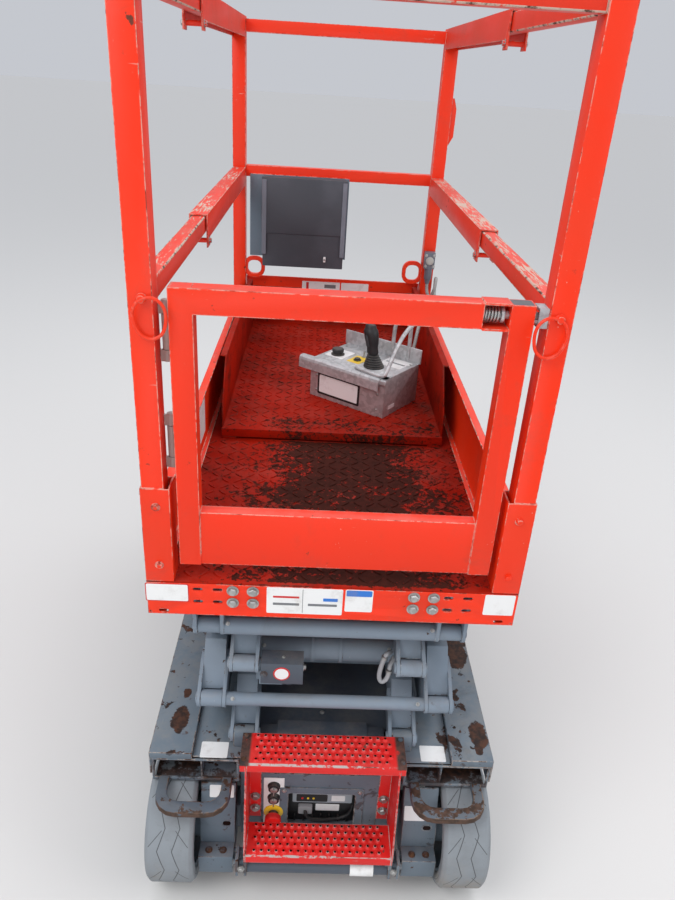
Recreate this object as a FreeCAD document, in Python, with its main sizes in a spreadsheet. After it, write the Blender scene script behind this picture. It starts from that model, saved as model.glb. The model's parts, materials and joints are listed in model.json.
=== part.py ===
"""Compact electric scissor lift with a roll-out deck, three pairs of scissor arms and front steering.

Frame: millimetres, +X to the right seen from the ladder, +Y towards the steered front, +Z up.
The origin is on the floor under the middle of the machine.
"""
import FreeCAD, Part
import math
import os

import Sketcher
from FreeCAD import Placement, Rotation, Vector

doc = FreeCAD.newDocument("ScissorLift")

# Driving dimensions: name, millimetres (degrees where the name ends in _angle), meaning.
SIZES = [
    ("platform_length", 1660, "main deck from rear sill to front posts"),
    ("platform_width", 760, "over the guardrail posts"),
    ("tail_reach", 120, "rear wheels behind the rear sill"),
    ("chassis_width", 810, "over the tyres and side decks"),
    ("deck_top", 895, "walking surface above the floor, lowered"),
    ("rail_height", 1075, "top of the guardrails above the deck"),
    ("mid_rail_height", 605, "top of the middle rails above the deck"),
    ("wheel_radius", 152.5, "solid tyre"),
    ("wheel_width", 112, "solid tyre"),
    ("rim_radius", 118, "seat of the tyre on the rim"),
    ("wheelbase", 1320, "rear axle to front axle"),
    ("spindle_radius", 18, "wheel spindles"),
    ("kingpin_offset", 143, "kingpin axis inside the tyre's outer face"),
    ("kingpin_radius", 12, "kingpins"),
    ("tie_arm_reach", 70, "steering arm ahead of the kingpin"),
    ("wing_top", 400, "side decks above the floor"),
    ("low_deck_top", 385, "inner decks above the floor"),
    ("chassis_front_gap", 90, "chassis front behind the platform front"),
    ("frame_half", 195, "half width of the central frame"),
    ("nose_half", 136, "half width of the frame between the steered wheels"),
    ("frame_bottom", 90, "underside of the central frame"),
    ("nose_rise", 25, "underside of the nose above the underside of the frame"),
    ("sheet", 4, "deck and cover sheet"),
    ("plate", 6, "frame plate"),
    ("arm_length", 1480, "scissor arm from pin to pin"),
    ("arm_width", 50, "arm tube across"),
    ("arm_depth", 90, "arm tube up and down"),
    ("arm_wall", 5, "arm tube wall"),
    ("pin_pitch", 110, "height from one row of end pins to the next, folded"),
    ("pin_inset", 55, "rear end pins ahead of the rear sill"),
    ("first_pin", 412, "lowest end pins above the floor"),
    ("pin_radius", 12.5, "scissor pins"),
    ("boss_radius", 19, "bosses and ends of the pin plates"),
    ("pin_plate", 8, "pin plates each side of a boss"),
    ("arm_inset", 142, "middle of the outer arms inside the chassis width"),
    ("arm_spacing", 75, "middle of the outer arms to the middle of the inner arms"),
    ("tie_radius", 21, "cross tubes between the arms of a pair"),
    ("top_tie_radius", 20, "cross tubes of the upper inner arms"),
    ("big_tie_radius", 30, "cross tube that takes the lift cylinder's rod"),
    ("roller_radius", 22, "rollers at the loose ends of the arms"),
    ("roller_width", 34, "rollers"),
    ("barrel_radius", 35, "lift cylinder barrel"),
    ("rod_radius", 21, "lift cylinder rod"),
    ("running", 0.05, "radial clearance of a running pin"),
    ("seat", 0.3, "gap between pieces that only rest on each other"),
    ("post", 42, "rear guardrail posts"),
    ("front_post", 45, "front guardrail posts"),
    ("tube_wall", 3, "guardrail tube wall"),
    ("socket_width", 56, "rear post sockets across"),
    ("socket_depth", 52, "rear post sockets fore and aft"),
    ("socket_height", 214, "rear post sockets above the deck"),
    ("rail_depth", 40, "fixed side rails"),
    ("rail_width", 33, "fixed side rails"),
    ("slide_depth", 60, "sliding rail channels"),
    ("slide_width", 45, "sliding rail channels"),
    ("slide_wall", 3.5, "sliding rail channels"),
    ("sill_depth", 83, "rear sill"),
    ("toe_height", 180, "fixed toe walls above the deck"),
    ("toe_flange", 20, "folded top edge of the fixed toe walls"),
    ("toe_inset", 25, "fixed toe walls inside the platform's side"),
    ("roll_deck_length", 1005, "roll-out deck"),
    ("roll_deck_rise", 30, "roll-out deck above the main deck"),
    ("roll_wall_gap", 70, "roll-out side walls inside the platform's side"),
    ("roll_wall_height", 175, "roll-out side walls"),
    ("gate_half", 311, "half width of the gate"),
    ("gate_tube", 38, "gate tubes fore and aft"),
    ("gate_stile", 42, "gate tubes across"),
    ("gate_bottom", 40, "gate above the deck"),
    ("gate_top", 600, "top of the gate above the deck"),
    ("kick_height", 120, "kick plate of the gate"),
    ("hinge_radius", 8, "gate hinge barrels"),
    ("hinge_gap", 12, "gate hinge axis outside the gate"),
    ("track_wall", 6, "roller tracks"),
    ("ladder_inset", 7, "ladder inside the width of the central frame"),
    ("step_depth", 88, "ladder steps fore and aft"),
    ("step_upper", 445, "top of the upper step"),
    ("step_lower", 185, "top of the lower step"),
    ("loop_reach", 100, "tie-down loops behind the chassis"),
    ("loop_thick", 16, "tie-down loops"),
    ("loop_bar", 32, "tie-down loop bar seen from above"),
    ("loop_width", 172, "tie-down loops across"),
    ("tray_gap", 8, "swing-out trays clear of the frame and wheels"),
]

sheet = doc.addObject("Spreadsheet::Sheet", "Dims")
for row, (alias, value, meaning) in enumerate(SIZES, start=1):
    sheet.set("A%d" % row, meaning)
    sheet.set("B%d" % row, str(value))
    sheet.setAlias("B%d" % row, alias)
doc.recompute()


class Length:
    """A size worked out from the sheet: its number now and the formula that keeps it bound."""

    def __init__(self, number, text):
        self.number = number
        self.text = text

    def __add__(self, other):
        return combine(self, "+", other)

    def __radd__(self, other):
        return combine(other, "+", self)

    def __sub__(self, other):
        return combine(self, "-", other)

    def __rsub__(self, other):
        return combine(other, "-", self)

    def __mul__(self, other):
        return combine(self, "*", other)

    def __rmul__(self, other):
        return combine(other, "*", self)

    def __truediv__(self, other):
        return combine(self, "/", other)

    def __neg__(self):
        return combine(0, "-", self)


def number(size):
    """The plain number of a size, bound or not."""
    return size.number if isinstance(size, Length) else float(size)


def formula(size):
    """The formula of a size, bound or not."""
    return size.text if isinstance(size, Length) else repr(float(size))


def combine(left, sign, right):
    first, second = number(left), number(right)
    result = {
        "+": first + second,
        "-": first - second,
        "*": first * second,
        "/": first / second if second else 0.0,
    }[sign]
    return Length(result, "(%s %s %s)" % (formula(left), sign, formula(right)))


def root(size):
    return Length(math.sqrt(number(size)), "sqrt(%s)" % formula(size))


class Dimensions:
    """Reads a size by its name, as a Length bound to its cell."""

    def __getattr__(self, name):
        return Length(float(sheet.get(name)), "Dims." + name)


d = Dimensions()

# Helpers that make one bound object each.

TURN = {
    "x": Rotation(Vector(0, 1, 0), 90),
    "y": Rotation(Vector(1, 0, 0), -90),
    "z": Rotation(),
}
PLANE = {"x": "YZ_Plane", "y": "XZ_Plane", "z": "XY_Plane"}


def bind(target, prop, size):
    """Gives a property its formula."""
    target.setExpression(prop, formula(size))


def place(target, x, y, z, turn=None):
    target.Placement = Placement(Vector(number(x), number(y), number(z)), turn or Rotation())
    for axis, size in (("x", x), ("y", y), ("z", z)):
        bind(target, "Placement.Base." + axis, size)
    return target


def block(name, x, y, z):
    """A box from its low and high face along each axis."""
    box = doc.addObject("Part::Box", name)
    bind(box, "Length", x[1] - x[0])
    bind(box, "Width", y[1] - y[0])
    bind(box, "Height", z[1] - z[0])
    return place(box, x[0], y[0], z[0])


def rod(name, axis, span, centre, radius):
    """A round bar along an axis; centre holds the other two coordinates in x, y, z order."""
    bar = doc.addObject("Part::Cylinder", name)
    bind(bar, "Radius", radius)
    bind(bar, "Height", span[1] - span[0])
    spot = {"x": (span[0],) + tuple(centre), "y": (centre[0], span[0], centre[1]),
            "z": tuple(centre) + (span[0],)}[axis]
    return place(bar, spot[0], spot[1], spot[2], TURN[axis])


def origin_plane(body, role):
    return next(item for item in body.Origin.OriginFeatures if item.Role == role)


def pin_down(sketch, geometry, end, spot):
    """Fixes one sketch point by two bound distances from the sketch's origin."""
    for kind, size in (("DistanceX", spot[0]), ("DistanceY", spot[1])):
        index = sketch.addConstraint(
            Sketcher.Constraint(kind, -1, 1, geometry, end, number(size)))
        sketch.setExpression("Constraints[%d]" % index, formula(size))


def draw_outline(sketch, points):
    flat = [Vector(number(a), number(b), 0) for a, b in points]
    first = sketch.GeometryCount
    count = len(points)
    for i in range(count):
        sketch.addGeometry(Part.LineSegment(flat[i], flat[(i + 1) % count]), False)
    for i in range(count):
        follower = first + (i + 1) % count
        sketch.addConstraint(Sketcher.Constraint("Coincident", first + i, 2, follower, 1))
        pin_down(sketch, first + i, 1, points[i])


def draw_circle(sketch, centre, radius):
    middle = Vector(number(centre[0]), number(centre[1]), 0)
    index = sketch.addGeometry(Part.Circle(middle, Vector(0, 0, 1), number(radius)), False)
    pin_down(sketch, index, 3, centre)
    bound = sketch.addConstraint(Sketcher.Constraint("Radius", index, number(radius)))
    sketch.setExpression("Constraints[%d]" % bound, formula(radius))


def sketch_on(body, axis, offset, outlines, circles):
    sketch = body.newObject("Sketcher::SketchObject", body.Name + "_sketch")
    sketch.AttachmentSupport = [(origin_plane(body, PLANE[axis]), "")]
    sketch.MapMode = "FlatFace"
    bind(sketch, "AttachmentOffset.Base.z", offset)
    for points in outlines:
        draw_outline(sketch, points)
    for centre, radius in circles:
        draw_circle(sketch, centre, radius)
    return sketch


def profile(name, axis, span, outlines, circles=()):
    """A body padded along an axis from outlines; later outlines and circles are holes in the first.

    Outlines across X are (y, z) points, across Y (x, z) points and across Z (x, y) points.
    """
    body = doc.addObject("PartDesign::Body", name)
    start = -span[1] if axis == "y" else span[0]
    sketch = sketch_on(body, axis, start, outlines, circles)
    pad = body.newObject("PartDesign::Pad", name + "_pad")
    pad.Profile = sketch
    bind(pad, "Length", span[1] - span[0])
    return body


def revolved(name, spot, points):
    """A body turned about the X axis through spot (y, z); points are (x, radius)."""
    body = doc.addObject("PartDesign::Body", name)
    sketch = sketch_on(body, "y", 0, [points], [])
    turned = body.newObject("PartDesign::Revolution", name + "_turn")
    turned.Profile = sketch
    turned.ReferenceAxis = (sketch, ["H_Axis"])
    turned.Angle = 360
    return place(body, 0, spot[0], spot[1])


def fuse(name, pieces):
    if len(pieces) == 1:
        return pieces[0]
    joined = doc.addObject("Part::MultiFuse", name)
    joined.Shapes = pieces
    joined.Refine = True
    return joined


def cut(name, base, tools):
    result = doc.addObject("Part::Cut", name)
    result.Base = base
    result.Tool = fuse(name + "_tools", tools)
    result.Refine = True
    return result


def mirror(source):
    """The same piece on the other side of the centre line."""
    copy = doc.addObject("Part::Mirroring", source.Name + "_other")
    copy.Source = source
    copy.Normal = Vector(1, 0, 0)
    return copy


def both(pieces):
    return pieces + [mirror(piece) for piece in pieces]


nodes = {}


def node(name, pieces, group=False):
    """Names a finished sub-part; a group keeps pieces that do not touch in one file."""
    if group:
        made = doc.addObject("Part::Compound", name + "_group")
        made.Links = pieces
    else:
        made = fuse(name + "_whole", pieces)
    made.Label = name
    nodes[name] = made
    return made


# Places that several sub-parts share.

rear = (d.tail_reach - d.platform_length) / 2
front = rear + d.platform_length
tail = rear - d.tail_reach
side = d.platform_width / 2
flank = d.chassis_width / 2
outer_arm = flank - d.arm_inset
inner_arm = outer_arm - d.arm_spacing
rear_axle_y = tail + d.wheel_radius
front_axle_y = rear_axle_y + d.wheelbase
wheel_inner = flank - d.wheel_width
kingpin_x = flank - d.kingpin_offset
chassis_rear = rear + 25
chassis_front = front - d.chassis_front_gap
frame_top = d.low_deck_top - d.sheet
steer_clear = front_axle_y - 217
box_front = steer_clear - d.tray_gap
ladder_half = d.frame_half - d.ladder_inset
panel_half = ladder_half - 44
top = d.deck_top + d.rail_height
mid = d.deck_top + d.mid_rail_height

arm_reach = root(d.arm_length * d.arm_length - d.pin_pitch * d.pin_pitch)
rear_pin = rear + d.pin_inset
front_pin = rear_pin + arm_reach
centre_pin = rear_pin + arm_reach / 2
track_start = rear_pin + d.arm_length * 0.41


def pin_height(row):
    """Height of a row of end pins, 1 to 4 from the bottom."""
    return d.first_pin + (row - 1) * d.pin_pitch


# Wheels: a solid tyre on a dished rim, turning on a spindle.

WHEELS = [
    # name, side (-1 left, +1 right), axle place
    ("rear_left", -1, rear_axle_y),
    ("rear_right", 1, rear_axle_y),
    ("front_left", -1, front_axle_y),
    ("front_right", 1, front_axle_y),
]


def at_side(hand, points):
    """Outline points with distance from the centre line, put on one side of the machine."""
    return [(hand * across, other) for across, other in points]


def make_wheel(name, hand, axle):
    spot = (axle, d.wheel_radius)
    shoulder = 9
    tyre = [
        (wheel_inner + 3, d.rim_radius), (wheel_inner, d.rim_radius + 5),
        (wheel_inner, d.wheel_radius - shoulder), (wheel_inner + shoulder, d.wheel_radius),
        (flank - shoulder, d.wheel_radius), (flank, d.wheel_radius - shoulder),
        (flank, d.rim_radius + 5), (flank - 3, d.rim_radius),
    ]
    node("tyre_" + name, [revolved("tyre_%s_solid" % name, spot, at_side(hand, tyre))])
    web = wheel_inner + 50
    barrel = d.rim_radius - 8
    bore = d.spindle_radius + d.running
    rim = [
        (wheel_inner + 3, barrel), (wheel_inner + 3, d.rim_radius),
        (flank - 3, d.rim_radius), (flank - 3, barrel), (web + 12, barrel - 6),
        (web + 12, 44), (web + 34, 38), (web + 34, 0), (web + 26, 0), (web + 26, bore),
        (web, bore), (web, barrel - 6),
    ]
    node("rim_" + name, [revolved("rim_%s_solid" % name, spot, at_side(hand, rim))])


for wheel in WHEELS:
    make_wheel(*wheel)


# Central frame, decks and covers.

def make_chassis():
    inner = d.frame_half - d.plate
    pieces = both([
        block("frame_side", (inner, d.frame_half), (chassis_rear, box_front),
              (d.frame_bottom, frame_top)),
    ])
    pieces.append(block("frame_floor", (-inner, inner), (chassis_rear, box_front),
                        (d.frame_bottom, d.frame_bottom + d.plate)))
    pieces.append(block("step_plate", (-d.frame_half, d.frame_half),
                        (box_front - d.plate, box_front), (d.frame_bottom, frame_top)))
    window = [(-90, 118), (100, 118), (100, 262), (-90, 262)]
    back = [(-d.frame_half, d.frame_bottom), (d.frame_half, d.frame_bottom),
            (d.frame_half, frame_top), (-d.frame_half, frame_top)]
    pieces.append(profile("rear_plate", "y", (chassis_rear, chassis_rear + d.plate),
                          [back, window]))
    pieces.append(block("rear_beam", (-inner, inner),
                        (chassis_rear + d.plate, rear_axle_y + 50),
                        (d.frame_bottom + d.plate, d.frame_bottom + 26)))
    node("chassis_frame", pieces)


def make_nose():
    """The narrow front of the frame, between the steered wheels."""
    inner = d.nose_half - d.plate
    low = d.frame_bottom + d.nose_rise
    pieces = both([
        block("nose_side", (inner, d.nose_half), (box_front, chassis_front), (low, frame_top)),
    ])
    pieces.append(block("nose_floor", (-inner, inner), (box_front, chassis_front),
                        (low, low + d.plate)))
    pieces.append(block("nose_plate", (-flank + 104, flank - 104),
                        (chassis_front - d.plate, chassis_front),
                        (frame_top - 60, frame_top)))
    node("nose_frame", pieces)


def make_side_decks():
    inner_edge = flank - 100
    low_deck = block("low_deck", (d.frame_half - d.plate, inner_edge),
                     (rear + d.plate, chassis_front), (frame_top, d.low_deck_top))
    track_edge = outer_arm + 79
    pieces = []
    pieces.append(block("wing_rear", (inner_edge, flank), (rear, track_start),
                        (d.wing_top - d.sheet, d.wing_top)))
    pieces.append(block("wing_front", (track_edge, flank), (track_start, chassis_front),
                        (d.wing_top - d.sheet, d.wing_top)))
    pieces.append(block("wing_riser", (inner_edge, inner_edge + d.sheet), (rear, track_start),
                        (d.low_deck_top, d.wing_top)))
    pieces.append(block("wing_end", (inner_edge, flank), (track_start - d.sheet, track_start),
                        (d.low_deck_top, d.wing_top)))
    pieces.append(profile("wing_flange", "x", (flank - d.sheet, flank), [[
        (rear, d.wing_top), (chassis_front, d.wing_top),
        (chassis_front, d.wheel_radius * 2 + 30), (chassis_front - 40, d.wheel_radius * 2 + 6),
        (rear + 20, d.wheel_radius * 2 + 6), (rear, d.wheel_radius * 2 + 26),
    ]]))
    pieces.append(block("wing_lip", (inner_edge, flank), (rear, rear + d.sheet),
                        (d.wing_top - 20, d.wing_top)))
    node("side_decks", both([fuse("wing", pieces), low_deck]), group=True)


def make_fork_pockets():
    low = d.wheel_radius * 2 + 5
    high = d.wing_top - 20
    outer = flank - 5
    inner = d.frame_half
    hole = [(inner + 6, low + 9), (outer - 6, low + 9), (outer - 6, high - 5),
            (inner + 6, high - 5)]
    plate = [(inner, low), (outer, low), (outer, high), (inner, high)]
    mouth = profile("pocket_mouth", "y", (rear, rear + d.plate), [plate, hole])
    floor = low + 1
    tunnel_out = flank - 118
    tunnel = fuse("pocket_tunnel", [
        block("pocket_side", (tunnel_out - d.sheet, tunnel_out), (rear + d.plate, box_front),
              (floor, frame_top)),
        block("pocket_floor", (inner, tunnel_out), (rear + d.plate, box_front),
              (floor, floor + d.sheet)),
    ])
    node("fork_pockets", both([mouth, tunnel]), group=True)


def make_tie_loops():
    low = d.wheel_radius * 2 + 5
    middle = (d.frame_half + flank) / 2 - 3
    half = d.loop_width / 2
    reach = rear - d.loop_reach

    def outline(inset, start, back, corner):
        """A strip from the frame with two rounded corners at its far end."""
        left, right = middle - half + inset, middle + half - inset
        arc = [math.radians(22.5 * step) for step in range(5)]
        points = [(left, start), (right, start)]
        for turn in arc:
            points.append((right - corner * (1 - math.cos(turn)),
                           back + corner * (1 - math.sin(turn))))
        for turn in arc[::-1]:
            points.append((left + corner * (1 - math.cos(turn)),
                           back + corner * (1 - math.sin(turn))))
        return points

    bar = profile("loop_bar_solid", "z", (low, low + d.loop_thick),
                  [outline(0, rear, reach, d.loop_width * 0.3)])
    inner = outline(d.loop_bar - 8, rear + 1, reach + d.loop_bar, d.loop_width * 0.18)
    hollow = profile("loop_gap", "z", (low - 1, low + d.loop_thick + 1), [inner])
    node("tie_loops", both([cut("loop_right", bar, [hollow])]), group=True)


make_chassis()
make_nose()
make_side_decks()
make_fork_pockets()
make_tie_loops()


# Ladder with two folded steps between side plates.

def make_ladder():
    half = ladder_half
    upper_front = rear + 26
    upper_back = upper_front - d.step_depth
    lower_front = rear - 14
    lower_back = lower_front - d.step_depth
    low_half = half - 12
    flange_y = chassis_rear
    cheek = [
        (upper_front, d.step_upper), (upper_back, d.step_upper),
        (upper_back - 3, d.step_upper - 24), (lower_back - 3, d.step_lower + 10),
        (lower_back, d.step_lower - 26), (flange_y, d.step_lower - 26),
        (flange_y, d.low_deck_top), (upper_front, d.step_upper - 30),
    ]
    pieces = both([
        profile("ladder_cheek", "x", (half - 16, half - 12), [cheek]),
        block("ladder_flange", (panel_half, half - 14), (flange_y - d.sheet, flange_y),
              (d.step_lower - 26, frame_top - 50)),
    ])
    for name, level, back, fore, width in (
        ("upper", d.step_upper, upper_back, upper_front, half),
        ("lower", d.step_lower, lower_back, lower_front, low_half),
    ):
        pieces.append(block("step_%s_tread" % name, (-width, width), (back, fore),
                            (level - d.sheet, level)))
        pieces.append(block("step_%s_lip" % name, (-width, width), (back, back + d.sheet),
                            (level - 26, level)))
        pieces.append(block("step_%s_back" % name, (-width, width), (fore - d.sheet, fore),
                            (level - 20, level)))
    node("ladder", pieces)


make_ladder()


# Scissor arms, three pairs high.

ARMS = [
    # name, level, middle of the arm from the centre line, end that is low
    ("arms_1_inner", 1, "inner", "rear"),
    ("arms_1_outer", 1, "outer", "front"),
    ("arms_2_outer", 2, "outer", "rear"),
    ("arms_2_inner", 2, "inner", "front"),
    ("arms_3_inner", 3, "inner", "rear"),
    ("arms_3_outer", 3, "outer", "front"),
]
pin_gap = (d.pin_pitch - d.arm_depth) / 2
end_clear = d.boss_radius + 3
cap_start = root(end_clear * end_clear - pin_gap * pin_gap)
cap_run = 68
plate_reach = 96


def end_side(end):
    """The pin's place and the direction from it along the arm."""
    return (rear_pin, 1) if end == "rear" else (front_pin, -1)


def arm_tube(name, offset, level, low):
    base = pin_height(level) + pin_gap
    roof = base + d.arm_depth
    near, way = end_side(low)
    far = front_pin if low == "rear" else rear_pin
    outline = [
        (near + way * cap_start, base), (far - way * (cap_start + cap_run), base),
        (far - way * cap_start, roof), (near + way * (cap_start + cap_run), roof),
    ]
    wall = d.arm_wall
    slant = cap_start + 10
    inside = [
        (near + way * slant, base + wall), (far - way * (slant + cap_run - 8), base + wall),
        (far - way * slant, roof - wall), (near + way * (slant + cap_run - 8), roof - wall),
    ]
    half = d.arm_width / 2
    bar = profile(name + "_bar", "x", (offset - half, offset + half), [outline])
    hollow = profile(name + "_hollow", "x", (offset - half + wall, offset + half - wall),
                     [inside])
    return cut(name + "_tube", bar, [hollow])


def pin_plates(name, offset, spot, way):
    """Two plates that carry the low end of an arm on its pin."""
    pin_y, pin_z = spot
    radius = d.boss_radius + 1
    outline = [
        (pin_y - way * radius * 0.7, pin_z + radius * 0.7),
        (pin_y + way * radius * 0.8, pin_z - radius * 0.55),
        (pin_y + way * plate_reach, pin_z + pin_gap + 2),
        (pin_y + way * plate_reach, pin_z + d.arm_depth * 0.7),
        (pin_y + way * (plate_reach - 36), pin_z + d.arm_depth * 0.66),
    ]
    pieces = []
    for index, inner in enumerate((offset - d.arm_width / 2 - d.pin_plate,
                                   offset + d.arm_width / 2)):
        span = (inner, inner + d.pin_plate)
        pieces.append(profile("%s_cheek%d" % (name, index), "x", span, [outline]))
        pieces.append(rod("%s_round%d" % (name, index), "x", span, spot, radius))
    return pieces


def boss(name, offset, spot, way):
    """The high end of an arm: a bored boss on a neck that rises from the tube."""
    pin_y, pin_z = spot
    half = d.arm_width / 2 - 0.8
    span = (offset - half, offset + half)
    neck = [
        (pin_y, pin_z + 8), (pin_y + way * (cap_start + 10), pin_z - pin_gap),
        (pin_y + way * (cap_start + 14), pin_z - pin_gap - 12), (pin_y, pin_z - d.boss_radius),
    ]
    return [profile(name + "_neck", "x", span, [neck]),
            rod(name + "_boss", "x", span, spot, d.boss_radius)]


def bore(name, offset, spot, radius=None):
    half = d.arm_width / 2 + d.pin_plate
    return rod(name + "_bore", "x", (offset - half, offset + half), spot,
               radius or d.pin_radius + d.running)


def make_arms(name, level, place_name, low):
    offset = outer_arm if place_name == "outer" else inner_arm
    high = "front" if low == "rear" else "rear"
    low_y, low_way = end_side(low)
    high_y, high_way = end_side(high)
    low_spot = (low_y, pin_height(level))
    high_spot = (high_y, pin_height(level + 1))
    centre = (centre_pin, pin_height(level) + d.pin_pitch / 2)
    half = d.arm_width / 2
    solid = [arm_tube(name, offset, level, low)]
    solid += pin_plates(name, offset, low_spot, low_way)
    solid += boss(name, offset, high_spot, high_way)
    bores = []
    if name != "arms_3_inner":
        bores.append(bore(name + "_high", offset, high_spot))
    if place_name == "inner":
        solid.append(rod(name + "_pivot", "x", (offset - half, offset + half), centre,
                         d.boss_radius + 3))
        bores.append(bore(name + "_centre", offset, centre))
    one = fuse(name + "_one", solid)
    if bores:
        one = cut(name + "_bored", one, bores)
    pieces = both([one])
    return pieces, offset, low_spot, high_spot, centre


def low_pins(name, offset, spot):
    """Short pins at the low ends of an inner pair."""
    half = d.arm_width / 2 + d.pin_plate
    return both([rod(name + "_pin", "x", (offset - half - 4, offset + half + 4), spot,
                     d.pin_radius)])


def centre_pins(name, offset, spot):
    """Pins of an outer pair that run in the inner pair's pivots, with a collar between."""
    half = d.arm_width / 2
    inner_face = inner_arm + half
    return both([
        rod(name + "_centre", "x", (inner_arm - half - 4, offset + half + 4), spot,
            d.pin_radius),
        rod(name + "_collar", "x", (inner_face + 0.5, offset - half), spot, d.boss_radius),
    ])


def shaft(name, half, spot, radius):
    return rod(name + "_shaft", "x", (-half, half), spot, radius)


def tie(name, spot, radius):
    half = inner_arm - d.arm_width / 2
    return shaft(name, half + 2, spot, radius)


def make_all_arms():
    outer_pin_half = outer_arm + d.arm_width / 2 + d.pin_plate + 4
    for name, level, place_name, low in ARMS:
        pieces, offset, low_spot, high_spot, centre = make_arms(name, level, place_name, low)
        middle = centre[1]
        if place_name == "outer":
            pieces += centre_pins(name, offset, centre)
            if name == "arms_1_outer":
                half = outer_arm + d.arm_width / 2 + d.pin_plate + 3 + d.roller_width
                pieces.append(shaft(name, half, low_spot, d.pin_radius))
            else:
                pieces.append(shaft(name, outer_pin_half, low_spot, d.pin_radius))
                tube_half = outer_arm - d.arm_width / 2 - d.pin_plate
                pieces.append(shaft(name + "_sleeve", tube_half, low_spot, d.pin_radius + 3))
        else:
            pieces += low_pins(name, offset, low_spot)
        if name == "arms_1_inner":
            pieces.append(tie(name + "_foot", cylinder_foot, d.tie_radius))
            pieces.append(tie(name + "_rear", (rear_pin + 215, middle), d.tie_radius))
        if name == "arms_2_inner":
            pieces.append(tie(name + "_big", big_tie, d.big_tie_radius))
            pieces.append(tie(name + "_fore", (front_pin - 200, middle), d.tie_radius))
            pieces += rod_lugs(name)
            pieces += limit_box(name)
        if name == "arms_3_inner":
            for label, spot in (("rear", rear_pin + 335), ("fore", front_pin - 300)):
                pieces.append(tie(name + "_" + label, (spot, middle - 15), d.top_tie_radius))
            inner = offset - d.arm_width / 2
            pieces += both([rod(name + "_axle", "x", (inner - 4 - d.roller_width, inner + 1),
                                high_spot, d.pin_radius)])
        node(name, pieces)


cylinder_foot = (front_pin - 350, pin_height(1) + 28)
cylinder_eye = (rear_pin + 215, pin_height(3) - 22)
big_tie = (rear_pin + 119, pin_height(2) + d.pin_pitch / 2)
lug_inner = 30


def rod_lugs(name):
    """Cheeks on the big cross tube that hold the lift cylinder's rod between them."""
    near, far = d.big_tie_radius + 4, d.rod_radius + 5
    outline = [
        (big_tie[0], big_tie[1] + near), (big_tie[0], big_tie[1] - near),
        (cylinder_eye[0] + 2, cylinder_eye[1] - far), (cylinder_eye[0] + 2, cylinder_eye[1] + far),
    ]
    span = (lug_inner, lug_inner + d.pin_plate)
    return both([
        profile(name + "_lug", "x", span, [outline]),
        rod(name + "_lug_round", "x", span, cylinder_eye, far),
        rod(name + "_lug_seat", "x", span, big_tie, near),
    ])


def limit_box(name):
    """A small switch box inside the left arm, on a strap."""
    inner = -inner_arm + d.arm_width / 2
    back = rear_pin - 20
    level = pin_height(3)
    return [
        block(name + "_strap", (inner, inner + 13), (back + 45, back + 75),
              (level - 72, level - 32)),
        block(name + "_bridge", (inner + 8, inner + 60), (back + 30, back + 55),
              (level - 72, level - 32)),
        block(name + "_switch_box", (inner + 13, inner + 108), (back, back + 45),
              (level - 40, level + 18)),
    ]


make_all_arms()


def make_rollers():
    outer = outer_arm + d.arm_width / 2 + d.pin_plate + 3
    inner = inner_arm - d.arm_width / 2 - 4
    for name, span, spot in (
        ("rollers_lower", (outer, outer + d.roller_width), (front_pin, pin_height(1))),
        ("rollers_upper", (inner - d.roller_width, inner), (front_pin, pin_height(4))),
    ):
        wheel = cut(name + "_one", rod(name + "_disc", "x", span, spot, d.roller_radius),
                    [rod(name + "_hole", "x", (span[0] - 1, span[1] + 1), spot,
                         d.pin_radius + d.running)])
        node(name, both([wheel]), group=True)


def channel(name, inner, outer, web, span, middle):
    """A roller track along Y: flanges above and below the rollers, web on one side."""
    low = middle - d.roller_radius - d.seat
    high = middle + d.roller_radius + 1
    across = (outer - d.track_wall, outer) if web == "outer" else (inner, inner + d.track_wall)
    return [
        block(name + "_low", (inner, outer), span, (low - d.track_wall + 1.7, low)),
        block(name + "_high", (inner, outer), span, (high, high + d.track_wall)),
        block(name + "_web", across, span, (low - d.track_wall + 1.7, high + d.track_wall)),
    ]


def make_tracks():
    inner = outer_arm + d.arm_width / 2 + d.pin_plate + 2
    lower = channel("track", inner, outer_arm + 79, "outer", (track_start, chassis_front),
                    pin_height(1))
    node("roller_tracks", both([fuse("track_one", lower)]), group=True)


make_rollers()
make_tracks()


# Chassis brackets that carry the lowest arms.

def make_arm_brackets():
    spot = (rear_pin, pin_height(1))
    half = d.arm_width / 2 - 0.8
    span = (inner_arm - half, inner_arm + half)
    foot = [
        (rear_pin - d.boss_radius, d.low_deck_top), (rear_pin + 16, d.low_deck_top),
        (rear_pin + 14, spot[1]), (rear_pin - 19, spot[1]),
    ]
    solid = fuse("arm_foot", [
        profile("arm_foot_block", "x", span, [foot]),
        rod("arm_foot_boss", "x", span, spot, d.boss_radius),
    ])
    bored = cut("arm_foot_bored", solid, [bore("arm_foot", inner_arm, spot)])
    node("arm_brackets", both([bored]), group=True)


make_arm_brackets()


# Lift cylinder between the lowest inner arms and the middle inner arms.

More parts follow.
